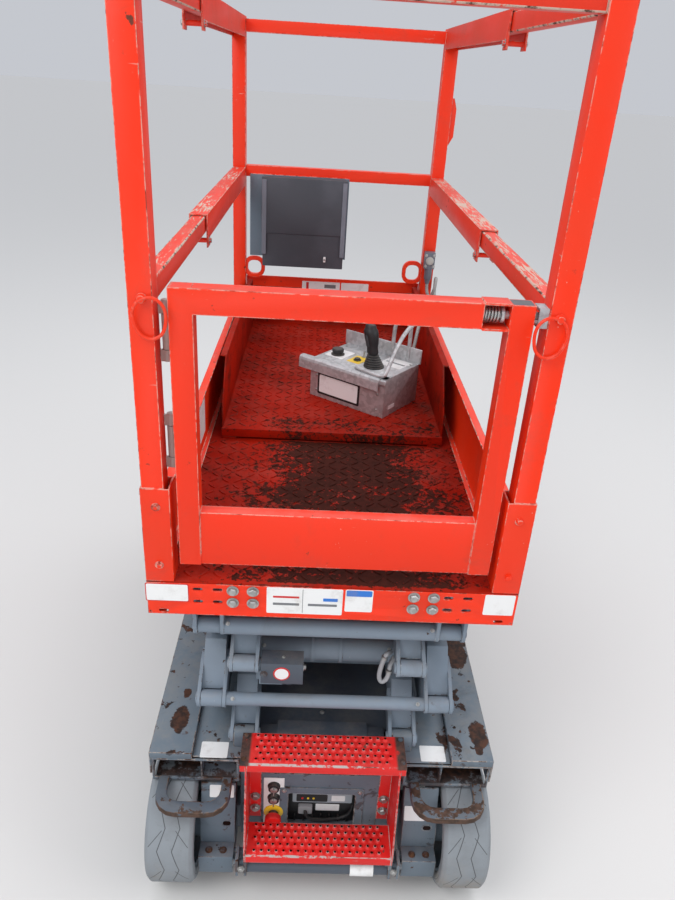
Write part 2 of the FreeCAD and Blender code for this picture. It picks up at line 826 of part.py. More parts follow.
def make_cylinder():
    run = cylinder_foot[0] - cylinder_eye[0]
    rise = cylinder_eye[1] - cylinder_foot[1]
    length = root(run * run + rise * rise)
    angle = 180 - math.degrees(math.atan2(number(rise), number(run)))
    foot_spot = Vector(0, number(cylinder_foot[0]), number(cylinder_foot[1]))
    lean = Placement(foot_spot, Rotation(Vector(1, 0, 0), angle))
    reach = number(length)
    eye = number(d.tie_radius) + 13
    barrel_end = reach - 130
    radius = number(d.barrel_radius)
    stem = number(d.rod_radius)
    along = Vector(0, 1, 0)
    across = Vector(1, 0, 0)
    width = 56

    def ring(spot, outer, wide):
        return Part.makeCylinder(outer, wide, Vector(-wide / 2, spot, 0), across)

    start = number(d.tie_radius) + 6
    barrel = Part.makeCylinder(radius, barrel_end - start, Vector(0, start, 0), along)
    barrel = barrel.fuse(ring(0, eye, width))
    barrel = barrel.fuse(Part.makeCylinder(radius + 5, 26, Vector(0, barrel_end - 26, 0), along))
    barrel = barrel.cut(Part.makeCylinder(stem + 0.05, barrel_end - 60,
                                          Vector(0, 60, 0), along))
    barrel = barrel.cut(ring(0, number(d.tie_radius) + number(d.running), width + 2))
    piston = Part.makeCylinder(stem, reach - 90, Vector(0, 80, 0), along)
    piston = piston.fuse(ring(reach, stem + 3, 50))
    for name, shape in (("lift_cylinder", barrel), ("lift_rod", piston)):
        piece = doc.addObject("Part::Feature", name + "_solid")
        piece.Shape = shape.removeSplitter()
        piece.Placement = lean
        node(name, [piece])


make_cylinder()


# Axles and steering.

def make_rear_axle():
    web = wheel_inner + 50
    spot = (rear_axle_y, d.wheel_radius)
    axle = fuse("rear_axle_one", [
        rod("rear_spindle", "x", (wheel_inner - 40, web + 25), spot, d.spindle_radius),
        rod("rear_hub", "x", (wheel_inner - 22, wheel_inner - 8), spot, 62),
        rod("rear_drum", "x", (wheel_inner - 8, web - 6), spot, 52),
        block("rear_bracket", (d.frame_half, wheel_inner - 22),
              (chassis_rear, rear_axle_y + 50), (d.wheel_radius - 40, d.wheel_radius + 40)),
    ])
    node("rear_axle", both([axle]), group=True)


knuckle_low = d.wheel_radius - 58
knuckle_high = d.wheel_radius + 58
ear = 10


def make_front_axle():
    boss_low = knuckle_low + ear + 0.5
    boss_high = knuckle_high - ear - 0.5
    arm = [(d.nose_half, front_axle_y - 60), (kingpin_x - 12, front_axle_y - 17),
           (kingpin_x - 12, front_axle_y + 17), (d.nose_half, front_axle_y + 60)]
    arm_solid = fuse("axle_arm_one", [
        cut("kingpin_boss", rod("kingpin_tube", "z", (boss_low, boss_high),
                                (kingpin_x, front_axle_y), 20),
            [rod("kingpin_bore", "z", (boss_low - 1, boss_high + 1),
                 (kingpin_x, front_axle_y), d.kingpin_radius + d.running)]),
        cut("axle_arm_bored", profile("axle_arm", "z", (boss_low + 10, boss_high - 10), [arm]),
            [rod("axle_arm_bore", "z", (boss_low, boss_high),
                 (kingpin_x, front_axle_y), d.kingpin_radius + d.running)]),
    ])
    inner = d.nose_half - d.plate
    beam = block("axle_beam", (-inner, inner), (front_axle_y - 60, front_axle_y + 60),
                 (d.frame_bottom + d.nose_rise + d.plate, boss_high - 10))
    node("front_axle", both([arm_solid]) + [beam], group=True)


def make_knuckles():
    plate_in = wheel_inner - 8
    spot = (front_axle_y, d.wheel_radius)
    tie_y = front_axle_y + d.tie_arm_reach
    for name, hand in (("left", -1), ("right", 1)):
        def span(low, high):
            return (low, high) if hand == 1 else (-high, -low)
        ear_outline = at_side(hand, [
            (kingpin_x - 15, front_axle_y - 17), (plate_in + 6, front_axle_y - 24),
            (plate_in + 6, front_axle_y + 24), (kingpin_x - 15, front_axle_y + 17),
        ])
        arm_outline = at_side(hand, [
            (kingpin_x - 15, front_axle_y + 10), (kingpin_x + 15, front_axle_y + 10),
            (kingpin_x + 10, tie_y), (kingpin_x - 10, tie_y),
        ])
        king = (hand * kingpin_x, front_axle_y)
        eye = (hand * kingpin_x, tie_y)
        pieces = [
            profile("ear_low_" + name, "z", (knuckle_low, knuckle_low + ear), [ear_outline]),
            profile("ear_high_" + name, "z", (knuckle_high - ear, knuckle_high), [ear_outline]),
            profile("steer_arm_" + name, "z", (knuckle_low, knuckle_low + ear), [arm_outline]),
            rod("steer_eye_" + name, "z", (knuckle_low, knuckle_low + ear), eye, 13),
            rod("steer_pin_" + name, "z", (knuckle_low - 22, knuckle_low), eye, 7),
            rod("kingpin_" + name, "z", (knuckle_low, knuckle_high), king, d.kingpin_radius),
            block("knuckle_plate_" + name, span(plate_in, plate_in + 12),
                  (front_axle_y - 24, front_axle_y + 24), (knuckle_low, knuckle_high)),
            rod("spindle_" + name, "x", span(plate_in, wheel_inner + 75), spot,
                d.spindle_radius),
        ]
        node("knuckle_" + name, pieces)


def make_tie_rod():
    tie_y = front_axle_y + d.tie_arm_reach
    level = (knuckle_low - 20, knuckle_low - 4)
    middle = knuckle_low - 12
    bar = rod("tie_bar", "x", (-kingpin_x + 12, kingpin_x - 12), (tie_y, middle), 7)
    eyes = both([rod("tie_eye", "z", level, (kingpin_x, tie_y), 15)])
    bores = both([rod("tie_bore", "z", (level[0] - 1, level[1] + 1), (kingpin_x, tie_y),
                      7 + d.running)])
    node("tie_rod", [cut("tie_rod_solid", fuse("tie_rod_blank", [bar] + eyes), bores)])


make_rear_axle()
make_front_axle()
make_knuckles()
make_tie_rod()


# What shows at the rear under the ladder and between the decks.

def make_rear_panel():
    plate = [(-panel_half, 112), (panel_half, 112), (panel_half, 314), (-panel_half, 314)]
    window = [(-77, 132), (-69, 124), (79, 124), (87, 132), (87, 244), (79, 252),
              (-69, 252), (-77, 244)]
    node("control_panel", [profile("panel_plate", "y", (chassis_rear - 3, chassis_rear),
                                   [plate, window])])
    node("charger", [block("charger_block", (-100, 110),
                           (chassis_rear + 20, chassis_rear + 130),
                           (d.frame_bottom + 26, 280))])
    face = chassis_rear - 3
    across = 31 - panel_half
    strip = block("switch_strip", (across - 25, across + 25), (face - 2, face), (124, 300))
    knobs = [
        rod("key_upper", "y", (face - 12, face - 2), (across, 272), 13),
        rod("key_lower", "y", (face - 12, face - 2), (across, 232), 13),
        rod("stop_neck", "y", (face - 24, face - 2), (across, 180), 12),
        rod("stop_head", "y", (face - 36, face - 20), (across, 180), 20),
    ]
    node("ground_controls", [strip] + knobs)


def make_covers():
    half = inner_arm - d.arm_width / 2 - 12
    deep = d.frame_half - d.plate
    nose = d.nose_half - d.plate
    level = (frame_top - 20, frame_top - 16)
    rear_cover = fuse("belly_cover_rear", [
        block("belly_floor", (-deep, deep), (rear_pin + 54, box_front - d.plate), level),
        block("belly_step", (-half, half), (rear_pin + 50, rear_pin + 54),
              (level[0], d.low_deck_top)),
        block("belly_shelf", (-half, half), (chassis_rear, rear_pin + 54),
              (frame_top, d.low_deck_top)),
    ])
    nose_cover = block("belly_nose", (-nose, nose), (box_front, chassis_front - d.plate), level)
    node("belly_cover", [rear_cover, nose_cover], group=True)


def fender_section(inset):
    """Side view of the curved panel behind each rear wheel, thinned by inset."""
    back = rear + 4
    return [
        (back + 26, 302), (back - 4 + inset, 302), (back - 14 + inset, 262),
        (back - 34 + inset, 222), (back - 44 + inset, 180), (back - 46 + inset, 150),
        (back - 46 + inset, 92), (back + 26, 92),
    ]


def make_rear_covers():
    span = (d.frame_half + 8, wheel_inner - 8)
    outer = fender_section(0)[1:7]
    inner = fender_section(d.sheet)[1:7]
    skin = outer + inner[::-1]
    panel = profile("rear_cover_skin", "x", span, [skin])
    web = [(rear + 25, 300), (rear + 4, 300), (rear - 6, 262), (rear - 26, 222),
           (rear - 36, 180), (rear - 38, 150), (rear - 38, 94), (rear + 25, 94)]
    rib = profile("rear_cover_rib", "x", (span[0], span[0] + d.sheet), [web])
    one = fuse("rear_cover_one", [panel, rib])
    node("rear_covers", both([one]), group=True)


def make_rear_brackets():
    back = rear - 82
    low = d.frame_bottom
    inner = d.frame_half + 8
    pieces = [
        block("bracket_block", (inner, wheel_inner - 8), (back, rear - 42.3), (low, low + 57)),
        block("bracket_cheek_in", (inner - 34, inner - 27), (back - 16, back + 26),
              (low + 12, low + 66)),
        block("bracket_cheek_out", (inner - 14, inner - 7), (back - 16, back + 26),
              (low + 12, low + 66)),
        rod("bracket_pin", "x", (inner - 40, inner - 1), (back, low + 40), 8),
        block("bracket_tongue", (inner - 34, inner), (back + 20, back + 32), (low + 12, low + 50)),
    ]
    brackets = both([fuse("bracket_one", pieces)])
    reach = inner - 34 - d.seat
    pipe = rod("rear_pipe", "x", (-reach, reach), (back + 4, low + 30), 18)
    node("rear_brackets", brackets + [pipe], group=True)


make_rear_panel()
make_covers()
make_rear_covers()
make_rear_brackets()


# Swing-out trays between the wheels, with the batteries and the hydraulic unit.

tray_rear = rear_axle_y + d.wheel_radius + d.tray_gap
tray_front = steer_clear - d.tray_gap
tray_low = d.frame_bottom + d.tray_gap
tray_high = d.wheel_radius * 2 - 5
tray_inner = d.frame_half + d.tray_gap
tray_outer = flank - d.tray_gap / 2
hinge_barrel = 11
tray_hinge = (tray_outer - hinge_barrel, tray_rear + hinge_barrel)


def make_trays():
    low, high = tray_low, tray_high
    shell = fuse("tray_shell", [
        block("tray_skin", (tray_outer - 3, tray_outer), (tray_hinge[1], tray_front), (low, high)),
        block("tray_floor", (tray_inner, tray_outer), (tray_hinge[1], tray_front),
              (low, low + d.sheet)),
        block("tray_end_front", (tray_inner, tray_outer), (tray_front - 3, tray_front),
              (low, high - 60)),
        block("tray_end_rear", (tray_inner, tray_hinge[0]), (tray_rear, tray_rear + 3),
              (low, high - 60)),
        block("tray_floor_rear", (tray_inner, tray_hinge[0]), (tray_rear, tray_hinge[1]),
              (low, low + d.sheet)),
        rod("tray_barrel", "z", (low, high), tray_hinge, hinge_barrel),
    ])
    right = cut("tray_bored", shell, [
        rod("tray_bore", "z", (low - 1, high + 1), tray_hinge, 6 + d.running)])
    node("tray_right", [right])
    node("tray_left", [mirror(right)])
    load_x = (tray_inner + 8, tray_outer - 12)
    floor = low + d.sheet
    load_start = tray_rear + 60
    load_run = tray_front - 20 - load_start
    batteries = []
    for index in range(3):
        start = load_start + load_run * index / 3
        batteries.append(block("battery%d" % index, load_x, (start, start + load_run * 0.31),
                               (floor, floor + 170)))
    node("batteries_left", [mirror(piece) for piece in batteries], group=True)

    def along(start, end):
        """A stretch of the tray, in shares of the loaded length."""
        return (load_start + load_run * start, load_start + load_run * end)

    tank = block("tank", load_x, along(0, 0.33), (floor, floor + 160))
    pump = block("pump_block", (load_x[0] + 30, load_x[1] - 30), along(0.33, 0.4),
                 (floor, floor + 120))
    motor = rod("pump_motor", "y", along(0.4, 0.61), ((load_x[0] + load_x[1]) / 2, floor + 62), 62)
    box = block("drive_box", load_x, along(0.68, 0.99), (floor, floor + 120))
    node("hydraulic_unit_right", [fuse("power_unit", [tank, motor, pump]), box], group=True)
    strap_y = (tray_rear - 4, tray_rear + 2 * hinge_barrel + 4)
    hangers = both([
        fuse("hanger", [
            block("strap_rear", (d.frame_half - d.plate, tray_outer), strap_y,
                  (d.frame_bottom - d.plate, d.frame_bottom)),
            rod("tray_pin", "z", (d.frame_bottom - d.plate, d.wheel_radius * 2 + 1),
                tray_hinge, 6),
            block("pin_cap", (tray_outer - 2 * hinge_barrel, flank), strap_y,
                  (d.wheel_radius * 2 - 1, d.wheel_radius * 2 + 6)),
        ]),
        block("strap_front", (d.frame_half - d.plate, tray_outer),
              (tray_front - 40, tray_front), (d.frame_bottom - d.plate, d.frame_bottom)),
    ])
    node("tray_hangers", hangers, group=True)
    guard = fuse("guard_one", [
        block("guard_flange", (tray_outer - 70, tray_outer - 10), (tray_rear + 4, tray_front),
              (d.frame_bottom - 12, d.frame_bottom - d.plate)),
        block("guard_blade", (tray_outer - 16, tray_outer - 10), (tray_rear + 4, tray_front),
              (d.frame_bottom - 42, d.frame_bottom - d.plate)),
    ])
    node("pothole_guards", both([guard]), group=True)


make_trays()


# Main platform: frame, deck, toe walls, posts and fixed rails.

deck_front = front - d.front_post - 7
deck_under = d.deck_top - d.sheet
sill_low = d.deck_top - d.sill_depth
first_member = rear + 110
member_pitch = (deck_front - 60 - first_member) / 5
CROSS_MEMBERS = [first_member + index * member_pitch for index in range(6)]


def slot_outline(across, level):
    """A long hole with narrowed ends in the rear sill."""
    return [(across - 10, level - 2), (across - 7, level - 4), (across + 7, level - 4),
            (across + 10, level - 2), (across + 10, level + 2), (across + 7, level + 4),
            (across - 7, level + 4), (across - 10, level + 2)]


def make_platform_frame():
    low = d.deck_top - 64
    pieces = both([
        block("side_web", (side - d.sheet, side), (rear, deck_front), (sill_low, deck_under)),
        block("side_flange", (side - 36, side), (rear, deck_front), (sill_low, sill_low + d.sheet)),
    ])
    for index, start in enumerate(CROSS_MEMBERS):
        pieces.append(block("cross_web%d" % index, (-side, side), (start, start + 5),
                            (low, deck_under)))
        pieces.append(block("cross_flange%d" % index, (-side + 30, side - 30), (start, start + 34),
                            (low, low + 5)))
    pin_z = pin_height(4)
    half = d.arm_width / 2
    ring = d.boss_radius + 3
    lug = [(rear_pin - ring, pin_z), (rear_pin + ring, pin_z),
           (CROSS_MEMBERS[0], low + 20), (CROSS_MEMBERS[0], deck_under),
           (rear_pin - 12, deck_under), (rear_pin - ring, low)]
    lugs = []
    for index, inner in enumerate((outer_arm - half - d.pin_plate, outer_arm + half)):
        span = (inner, inner + d.pin_plate)
        lugs.append(profile("deck_lug%d" % index, "x", span, [lug]))
        lugs.append(rod("deck_lug_round%d" % index, "x", span, (rear_pin, pin_z), ring))
    pin_half = outer_arm + half + d.pin_plate + 4
    node("deck_hinge", both(lugs) + [
        shaft("deck_pin", pin_half, (rear_pin, pin_z), d.pin_radius),
        shaft("deck_sleeve", outer_arm - half - d.pin_plate, (rear_pin, pin_z), d.tie_radius),
    ])
    roller_out = inner_arm - half - 4
    track = channel("deck_track", roller_out - d.roller_width - 8, roller_out - 1, "inner",
                    (track_start, chassis_front), pin_z)
    hanger_low = pin_z + d.roller_radius + 1
    track.append(block("track_hanger", (roller_out - d.roller_width - 8,
                                        roller_out - d.roller_width - 2),
                       (track_start, chassis_front), (hanger_low, low)))
    tracks = both([fuse("deck_track_one", track)])
    corner = 12
    sill = [(-side, deck_under), (side, deck_under), (side, sill_low + corner),
            (side - corner, sill_low), (-side + corner, sill_low), (-side, sill_low + corner)]
    slots = []
    for hand in (-1, 1):
        for inset, drop in ((143, 18), (143, 49), (103, 18), (103, 49), (32, 75)):
            slots.append(slot_outline(hand * (side - inset), d.deck_top - drop))
    pieces.append(profile("sill_web", "y", (rear, rear + d.sheet), [sill] + slots))
    node("platform_frame", [fuse("deck_frame", pieces)] + tracks, group=True)


def make_deck():
    plate = block("deck_plate", (-side, side), (rear, deck_front), (deck_under, d.deck_top))
    node("main_deck", [plate])


def make_toe_walls():
    outer = side - d.toe_inset
    span = (rear + d.socket_depth, deck_front)
    peak = d.deck_top + d.toe_height
    wall = fuse("toe_wall", [
        block("toe_web", (outer - d.sheet, outer), span, (d.deck_top, peak)),
        block("toe_edge", (outer - d.toe_flange, outer), span, (peak - d.sheet, peak)),
        block("toe_foot", (outer - 16, outer), span, (d.deck_top, d.deck_top + d.sheet)),
    ])
    node("toe_walls", both([wall]), group=True)


def tube(name, x, y, z, axis, wall):
    """A square tube open at both ends along an axis."""
    inside = {
        "x": ((x[0] - 1, x[1] + 1), (y[0] + wall, y[1] - wall), (z[0] + wall, z[1] - wall)),
        "y": ((x[0] + wall, x[1] - wall), (y[0] - 1, y[1] + 1), (z[0] + wall, z[1] - wall)),
        "z": ((x[0] + wall, x[1] - wall), (y[0] + wall, y[1] - wall), (z[0] - 1, z[1] + 1)),
    }[axis]
    return cut(name, block(name + "_bar", x, y, z), [block(name + "_inside", *inside)])


hinge_axis = (-d.gate_half - d.hinge_gap, rear + 48)
HINGES = [d.deck_top + 240, d.deck_top + 455]
knuckle_long = 66
knuckle_short = 22


def hinge_knuckles(name, level):
    """The two short barrels, their leaf and the pin, on the post."""
    x, y = hinge_axis
    post_face = -side + d.tube_wall + d.post
    return [
        rod(name + "_low", "z", (level, level + knuckle_short), hinge_axis, d.hinge_radius),
        rod(name + "_high", "z", (level + knuckle_short + knuckle_long,
                                  level + 2 * knuckle_short + knuckle_long),
            hinge_axis, d.hinge_radius),
        rod(name + "_pin", "z", (level, level + 2 * knuckle_short + knuckle_long),
            hinge_axis, 4),
        block(name + "_leaf_low", (post_face, x), (y - 6, y), (level, level + knuckle_short)),
        block(name + "_leaf_high", (post_face, x), (y - 6, y),
              (level + knuckle_short + knuckle_long, level + 2 * knuckle_short + knuckle_long)),
    ]


def latch_strike():
    """The open catch on the right post that the latch bolt rests in."""
    across = (d.gate_half + 7, side - d.tube_wall - d.post)
    level = d.deck_top + d.gate_top - 22.5
    return [
        block("strike_back", across, (rear + 8, rear + 12), (level - 17, level + 17)),
        block("strike_high", across, (rear + 8, rear + 46), (level + 12, level + 17)),
        block("strike_low", across, (rear + 8, rear + 46), (level - 17, level - 12)),
    ]


def make_rear_posts():
    socket = tube("socket", (side - d.socket_width, side), (rear, rear + d.socket_depth),
                  (d.deck_top, d.deck_top + d.socket_height), "z", d.tube_wall)
    outer = side - d.tube_wall
    post = tube("post", (outer - d.post, outer), (rear + d.tube_wall, rear + d.socket_depth - 3),
                (d.deck_top + 4, top), "z", d.tube_wall)
    right = fuse("rear_post", [socket, post])
    node("rear_post_right", [right] + latch_strike())
    left = [mirror(right)]
    for index, level in enumerate(HINGES):
        left += hinge_knuckles("hinge%d" % index, level)
    node("rear_post_left", left)


def make_fixed_rails():
    inner = side - d.tube_wall - d.post
    rear_rail = tube("rear_rail", (-inner, inner), (rear + 6, rear + 44), (top - 46, top - 4),
                     "x", d.tube_wall)
    middle = side - d.slide_width / 2
    span = (rear + d.socket_depth - 3, deck_front - 3)
    rails = []
    for label, peak in (("top", top), ("mid", mid)):
        roof = peak - d.slide_wall - 1.5
        rails.append(tube("fixed_rail_" + label,
                          (middle - d.rail_width / 2, middle + d.rail_width / 2),
                          span, (roof - d.rail_depth, roof), "y", d.tube_wall))
    node("fixed_rails", both(rails) + [rear_rail], group=True)


make_platform_frame()
make_deck()
make_toe_walls()
make_rear_posts()
make_fixed_rails()


# Gate with a spring latch.

def make_gate():
    half = d.gate_half
    low = d.deck_top + d.gate_bottom
    high = d.deck_top + d.gate_top
    span = (rear + 5, rear + 5 + d.gate_tube)
    pieces = both([tube("gate_stile", (half - d.gate_stile, half), span, (low, high), "z",
                        d.tube_wall)])
    inner = half - d.gate_stile
    housing = (inner - 46, inner)
    pieces.append(tube("gate_top_rail", (-inner, housing[0]), span, (high - 45, high), "x",
                       d.tube_wall))
    pieces += [
        block("gate_kick", (-inner, inner), (rear + 9, rear + 13), (low, low + d.kick_height)),
        block("gate_kick_top", (-inner, inner), (rear + 9, rear + 36),
              (low + d.kick_height - d.sheet, low + d.kick_height)),
        block("gate_kick_foot", (-inner, inner), (rear + 9, rear + 30), (low, low + d.sheet)),
    ]
    fore = span[1]
    pieces += [
        block("latch_web", housing, (fore - 4, fore), (high - 47, high + 2)),
        block("latch_roof", housing, (rear + 3, fore), (high - 2, high + 2)),
        block("latch_floor", housing, (rear + 3, fore), (high - 47, high - 43)),
    ]
    x, y = hinge_axis
    for index, level in enumerate(HINGES):
        base = level + knuckle_short + 0.5
        peak = level + knuckle_short + knuckle_long - 0.5
        pieces.append(cut("gate_knuckle%d" % index, fuse("gate_hinge%d" % index, [
            rod("gate_barrel%d" % index, "z", (base, peak), hinge_axis, d.hinge_radius),
            block("gate_leaf%d" % index, (x, -half + 26), (fore, fore + 4), (base, peak)),
        ]), [rod("gate_bore%d" % index, "z", (base - 1, peak + 1), hinge_axis,
                 4 + d.running)]))
    spot = (rear + 5 + d.gate_tube / 2, high - 22.5)
    bolt_hole = rod("latch_hole", "x", (inner - 1, half + 1), spot, 7 + d.seat)
    node("gate", [cut("gate_solid", fuse("gate_pieces", pieces), [bolt_hole])])
    node("gate_latch", [
        rod("latch_bolt", "x", (inner - 40, half + 14), spot, 7),
        rod("latch_collar", "x", (inner - 14, inner - 8), spot, 14),
        rod("latch_nut", "x", (inner - 46, inner - 38), spot, 12),
    ])


make_gate()


# Roll-out deck with its sliding rails and front guardrail.

roll_rear = front - d.roll_deck_length
roll_top = d.deck_top + d.roll_deck_rise
guard_rear = front - d.front_post
roll_wall_x = side - d.roll_wall_gap


def make_roll_deck():
    floor = (roll_top - d.sheet, roll_top)
    wide = side - d.front_post
    pieces = [
        block("roll_floor", (-roll_wall_x, roll_wall_x), (roll_rear, front), floor),
        block("roll_floor_front", (-wide, wide), (guard_rear, front), floor),
        block("roll_rear_lip", (-roll_wall_x, roll_wall_x), (roll_rear, roll_rear + 4),
              (d.deck_top + 6, roll_top)),
        block("roll_front_lip", (-wide, wide), (front - 6, front - 2),
              (floor[0], roll_top + 140)),
    ]
    pieces += both([
        block("runner_web", (roll_wall_x - 5, roll_wall_x), (roll_rear, guard_rear - 10),
              (d.deck_top + d.seat, roll_top)),
        block("runner_foot", (roll_wall_x - 40, roll_wall_x), (roll_rear, guard_rear - 10),
              (d.deck_top + d.seat, d.deck_top + d.seat + 5)),
    ])
    node("roll_deck", pieces)
    peak = roll_top + d.roll_wall_height
    outline = [(roll_rear + 10, roll_top), (guard_rear, roll_top), (guard_rear, peak),
               (roll_rear + 110, peak), (roll_rear + 10, roll_top + 60)]
    wall = fuse("roll_wall", [
        profile("roll_wall_web", "x", (roll_wall_x - 4, roll_wall_x), [outline]),
        block("roll_wall_edge", (roll_wall_x - 4, roll_wall_x + 14),
              (roll_rear + 110, guard_rear), (peak - d.sheet, peak)),
    ])
    node("roll_walls", both([wall]), group=True)


def make_sliding_rails():
    inner = side - d.slide_width
    rails = []
    for label, peak in (("top", top), ("mid", mid)):
        along = (roll_rear, guard_rear)
        low = peak - d.slide_depth
        ear_low = peak - d.slide_depth - 20
        rails.append(fuse("slide_" + label, [
            block("slide_roof_" + label, (inner, side), along, (peak - d.slide_wall, peak)),
            block("slide_out_" + label, (side - d.slide_wall, side), along, (low, peak)),
            block("slide_in_" + label, (inner, inner + d.slide_wall), along, (low, peak)),
            block("ear_out_" + label, (side - d.slide_wall, side), (roll_rear, roll_rear + 40),
                  (ear_low, low)),
            block("ear_in_" + label, (inner, inner + d.slide_wall),
                  (roll_rear, roll_rear + 40), (ear_low, low)),
            rod("slide_bolt_" + label, "x", (inner - 6, side),
                (roll_rear + 20, peak - d.slide_depth - 6), 6),
        ]))
    node("sliding_rails", both(rails), group=True)


def make_front_guard():
    inner = side - d.front_post
    posts = both([tube("guard_post", (inner, side), (guard_rear, front),
                       (roll_top - 25, top), "z", d.tube_wall)])
    rails = []
    for label, span in (("top", (top - 45, top - 7)), ("mid", (mid - 30, mid + 8))):
        rails.append(tube("front_rail_" + label, (-inner, inner), (guard_rear + 7, front - 6),
                          span, "x", d.tube_wall))
    handles = []
    for name, hand, low, high in (("left", -1, top - 865, top - 785),
                                  ("right", 1, top - 860, top - 773)):
        reach = inner - 73
        outer = at_side(hand, [(inner, low), (inner, high), (reach, high), (reach, low)])
        bar = 12
        hole = at_side(hand, [(inner - 5, low + bar), (inner - 5, high - bar),
                              (reach + bar, high - bar), (reach + bar, low + bar)])
        handles.append(profile("handle_" + name, "y", (guard_rear + 6, guard_rear + 18),
                               [outer, hole]))
    wedge = [(side, top - 364), (side, top - 207), (side + 8, top - 207), (side + 18, top - 240),
             (side + 18, top - 330)]
    bracket = profile("guard_bracket", "y", (guard_rear + 10, guard_rear + 35), [wedge])
    plate = (guard_rear + 1, guard_rear + 7)
    sheet_plate = block("box_plate", (-318, 40), plate, (top - 780, mid - 20))
    node("front_guard", posts + rails + handles + [bracket, sheet_plate])


def make_document_box():
    plate = (guard_rear + 1, guard_rear + 7)
    low, high = top - 805, top - 495
    depth = 50
    back = plate[0] - depth
    shell = cut("box_shell", block("box_outside", (-268, 30), (back, plate[0]), (low, high)),
                [block("box_inside", (-265, 27), (back + 3, plate[0] - 3), (low + 3, high - 3))])
    lid = block("box_lid", (-272, 34), (back - 4, back), (low + 120, high + 4))
    node("document_box", [shell, lid])


make_roll_deck()
make_sliding_rails()
make_front_guard()
make_document_box()


# Control box on the roll-out deck, with its cable.

BOX_LENGTH = 270
BOX_DEPTH = 190
BOX_HEIGHT = 120
# Cable gland on the back: along the box, up from its floor, length.
GLAND = (40, 60, 26)
# Middle of the lever and of the round knob: along the box, across the box.
LEVER = (46, -22)
KNOB = (-94, -14)
box_spot = (96, 153)
box_turn = Rotation(Vector(0, 0, 1), -37.3)


def make_control_box():
    half, deep, high = BOX_LENGTH / 2, BOX_DEPTH / 2, BOX_HEIGHT
    outside = block("control_outside", (-half, half), (-deep, deep), (0, high))
    inside = block("control_inside", (-half + 2, half - 2), (-deep + 2, deep - 2), (2, high - 2))
    pieces = [
        cut("control_shell", outside, [inside]),
        block("control_lip", (-half - 6, half + 6), (-deep - 8, -deep), (high - 14, high)),
        block("control_back", (-half - 6, half + 6), (deep - 4, deep), (high, high + 46)),
        rod("lever_base", "z", (high, high + 12), LEVER, 30),
        rod("lever_boot", "z", (high + 12, high + 34), LEVER, 20),
        rod("lever", "z", (high + 34, high + 126), LEVER, 14),
        rod("knob_base", "z", (high, high + 10), KNOB, 14),
        rod("knob_head", "z", (high + 10, high + 20), KNOB, 18),
        rod("cable_gland", "y", (deep, deep + GLAND[2]), GLAND[:2], 11),
        profile("lever_guard", "x", (half - 14, half - 4), [
            [(-deep + 4, high), (-deep + 4, high + 112), (deep - 40, high + 132),
             (deep - 40, high)],
            [(-deep + 14, high + 5), (-deep + 14, high + 103), (deep - 50, high + 121),
             (deep - 50, high + 5)],
        ]),
    ]
    whole = fuse("control_pieces", pieces)
    moved = doc.addObject("Part::Compound", "control_moved")
    moved.Links = [whole]
    moved.Placement = Placement(Vector(box_spot[0], box_spot[1], number(roll_top)), box_turn)
    bind(moved, "Placement.Base.z", roll_top)
    moved.Label = "control_box"
    nodes["control_box"] = moved


make_control_box()


def on_box(along, across, up):
    """A place on the turned control box, seen from the machine."""
    spot = box_turn.multVec(Vector(along, across, up))
    return spot + Vector(box_spot[0], box_spot[1], number(roll_top))


def corner_radii(points):
    """The arc radius at each inner point of a run of straight lines."""
    radii = []
    for before, corner, after in zip(points, points[1:], points[2:]):
        into = corner - before
        out = after - corner
        half_turn = into.getAngle(out) / 2
        radii.append(0.45 * min(into.Length, out.Length) / math.tan(half_turn))
    return radii


def make_cord(name, points, radius):
    """A tube along straight runs joined by tangent arcs."""
    radii = corner_radii(points)
    edges = []
    start = points[0]
    for index, bend in enumerate(radii):
        before, corner, after = points[index:index + 3]
        into = (corner - before).normalize()
        out = (after - corner).normalize()
        half_turn = into.getAngle(out) / 2
        reach = bend * math.tan(half_turn)
        first = corner - into * reach
        last = corner + out * reach
        centre_way = (out - into).normalize()
        middle = corner + centre_way * (bend / math.cos(half_turn) - bend)
        edges.append(Part.LineSegment(start, first).toShape())
        edges.append(Part.Arc(first, middle, last).toShape())
        start = last
    edges.append(Part.LineSegment(start, points[-1]).toShape())
    path = Part.Wire(edges)
    way = (points[1] - points[0]).normalize()
    circle = Part.Wire([Part.Circle(points[0], way, radius).toShape()])
    solid = path.makePipeShell([circle], True, False)
    cord = doc.addObject("Part::Feature", name + "_solid")
    cord.Shape = solid
    cord.Label = name
    nodes[name] = cord
    length = path.Length
    print(name, "arc radii mm:", [round(bend, 1) for bend in radii])
    print(name, "volume over section times length:",
          round(solid.Volume / (math.pi * radius * radius * length), 4))


CABLE_RADIUS = 6
CABLE_ROUTE = [
    # up over the roll-out wall, one loop outside the toe wall, then up into the plug
    (262, 330, 1004),
    (284, 410, 1075),
    (306, 485, 1117),
    (332, 560, 1124),
    (352, 630, 1108),
    (368, 690, 1094),
    (384, 742, 1092),
    (388, 800, 1078),
    (390, 830, 1106),
    (388, 818, 1146),
    (384, 776, 1154),
    (378, 750, 1122),
    (370, 768, 1086),
    (362, 806, 1080),
    (358, 826, 1108),
    (358, 826, 1140),
]


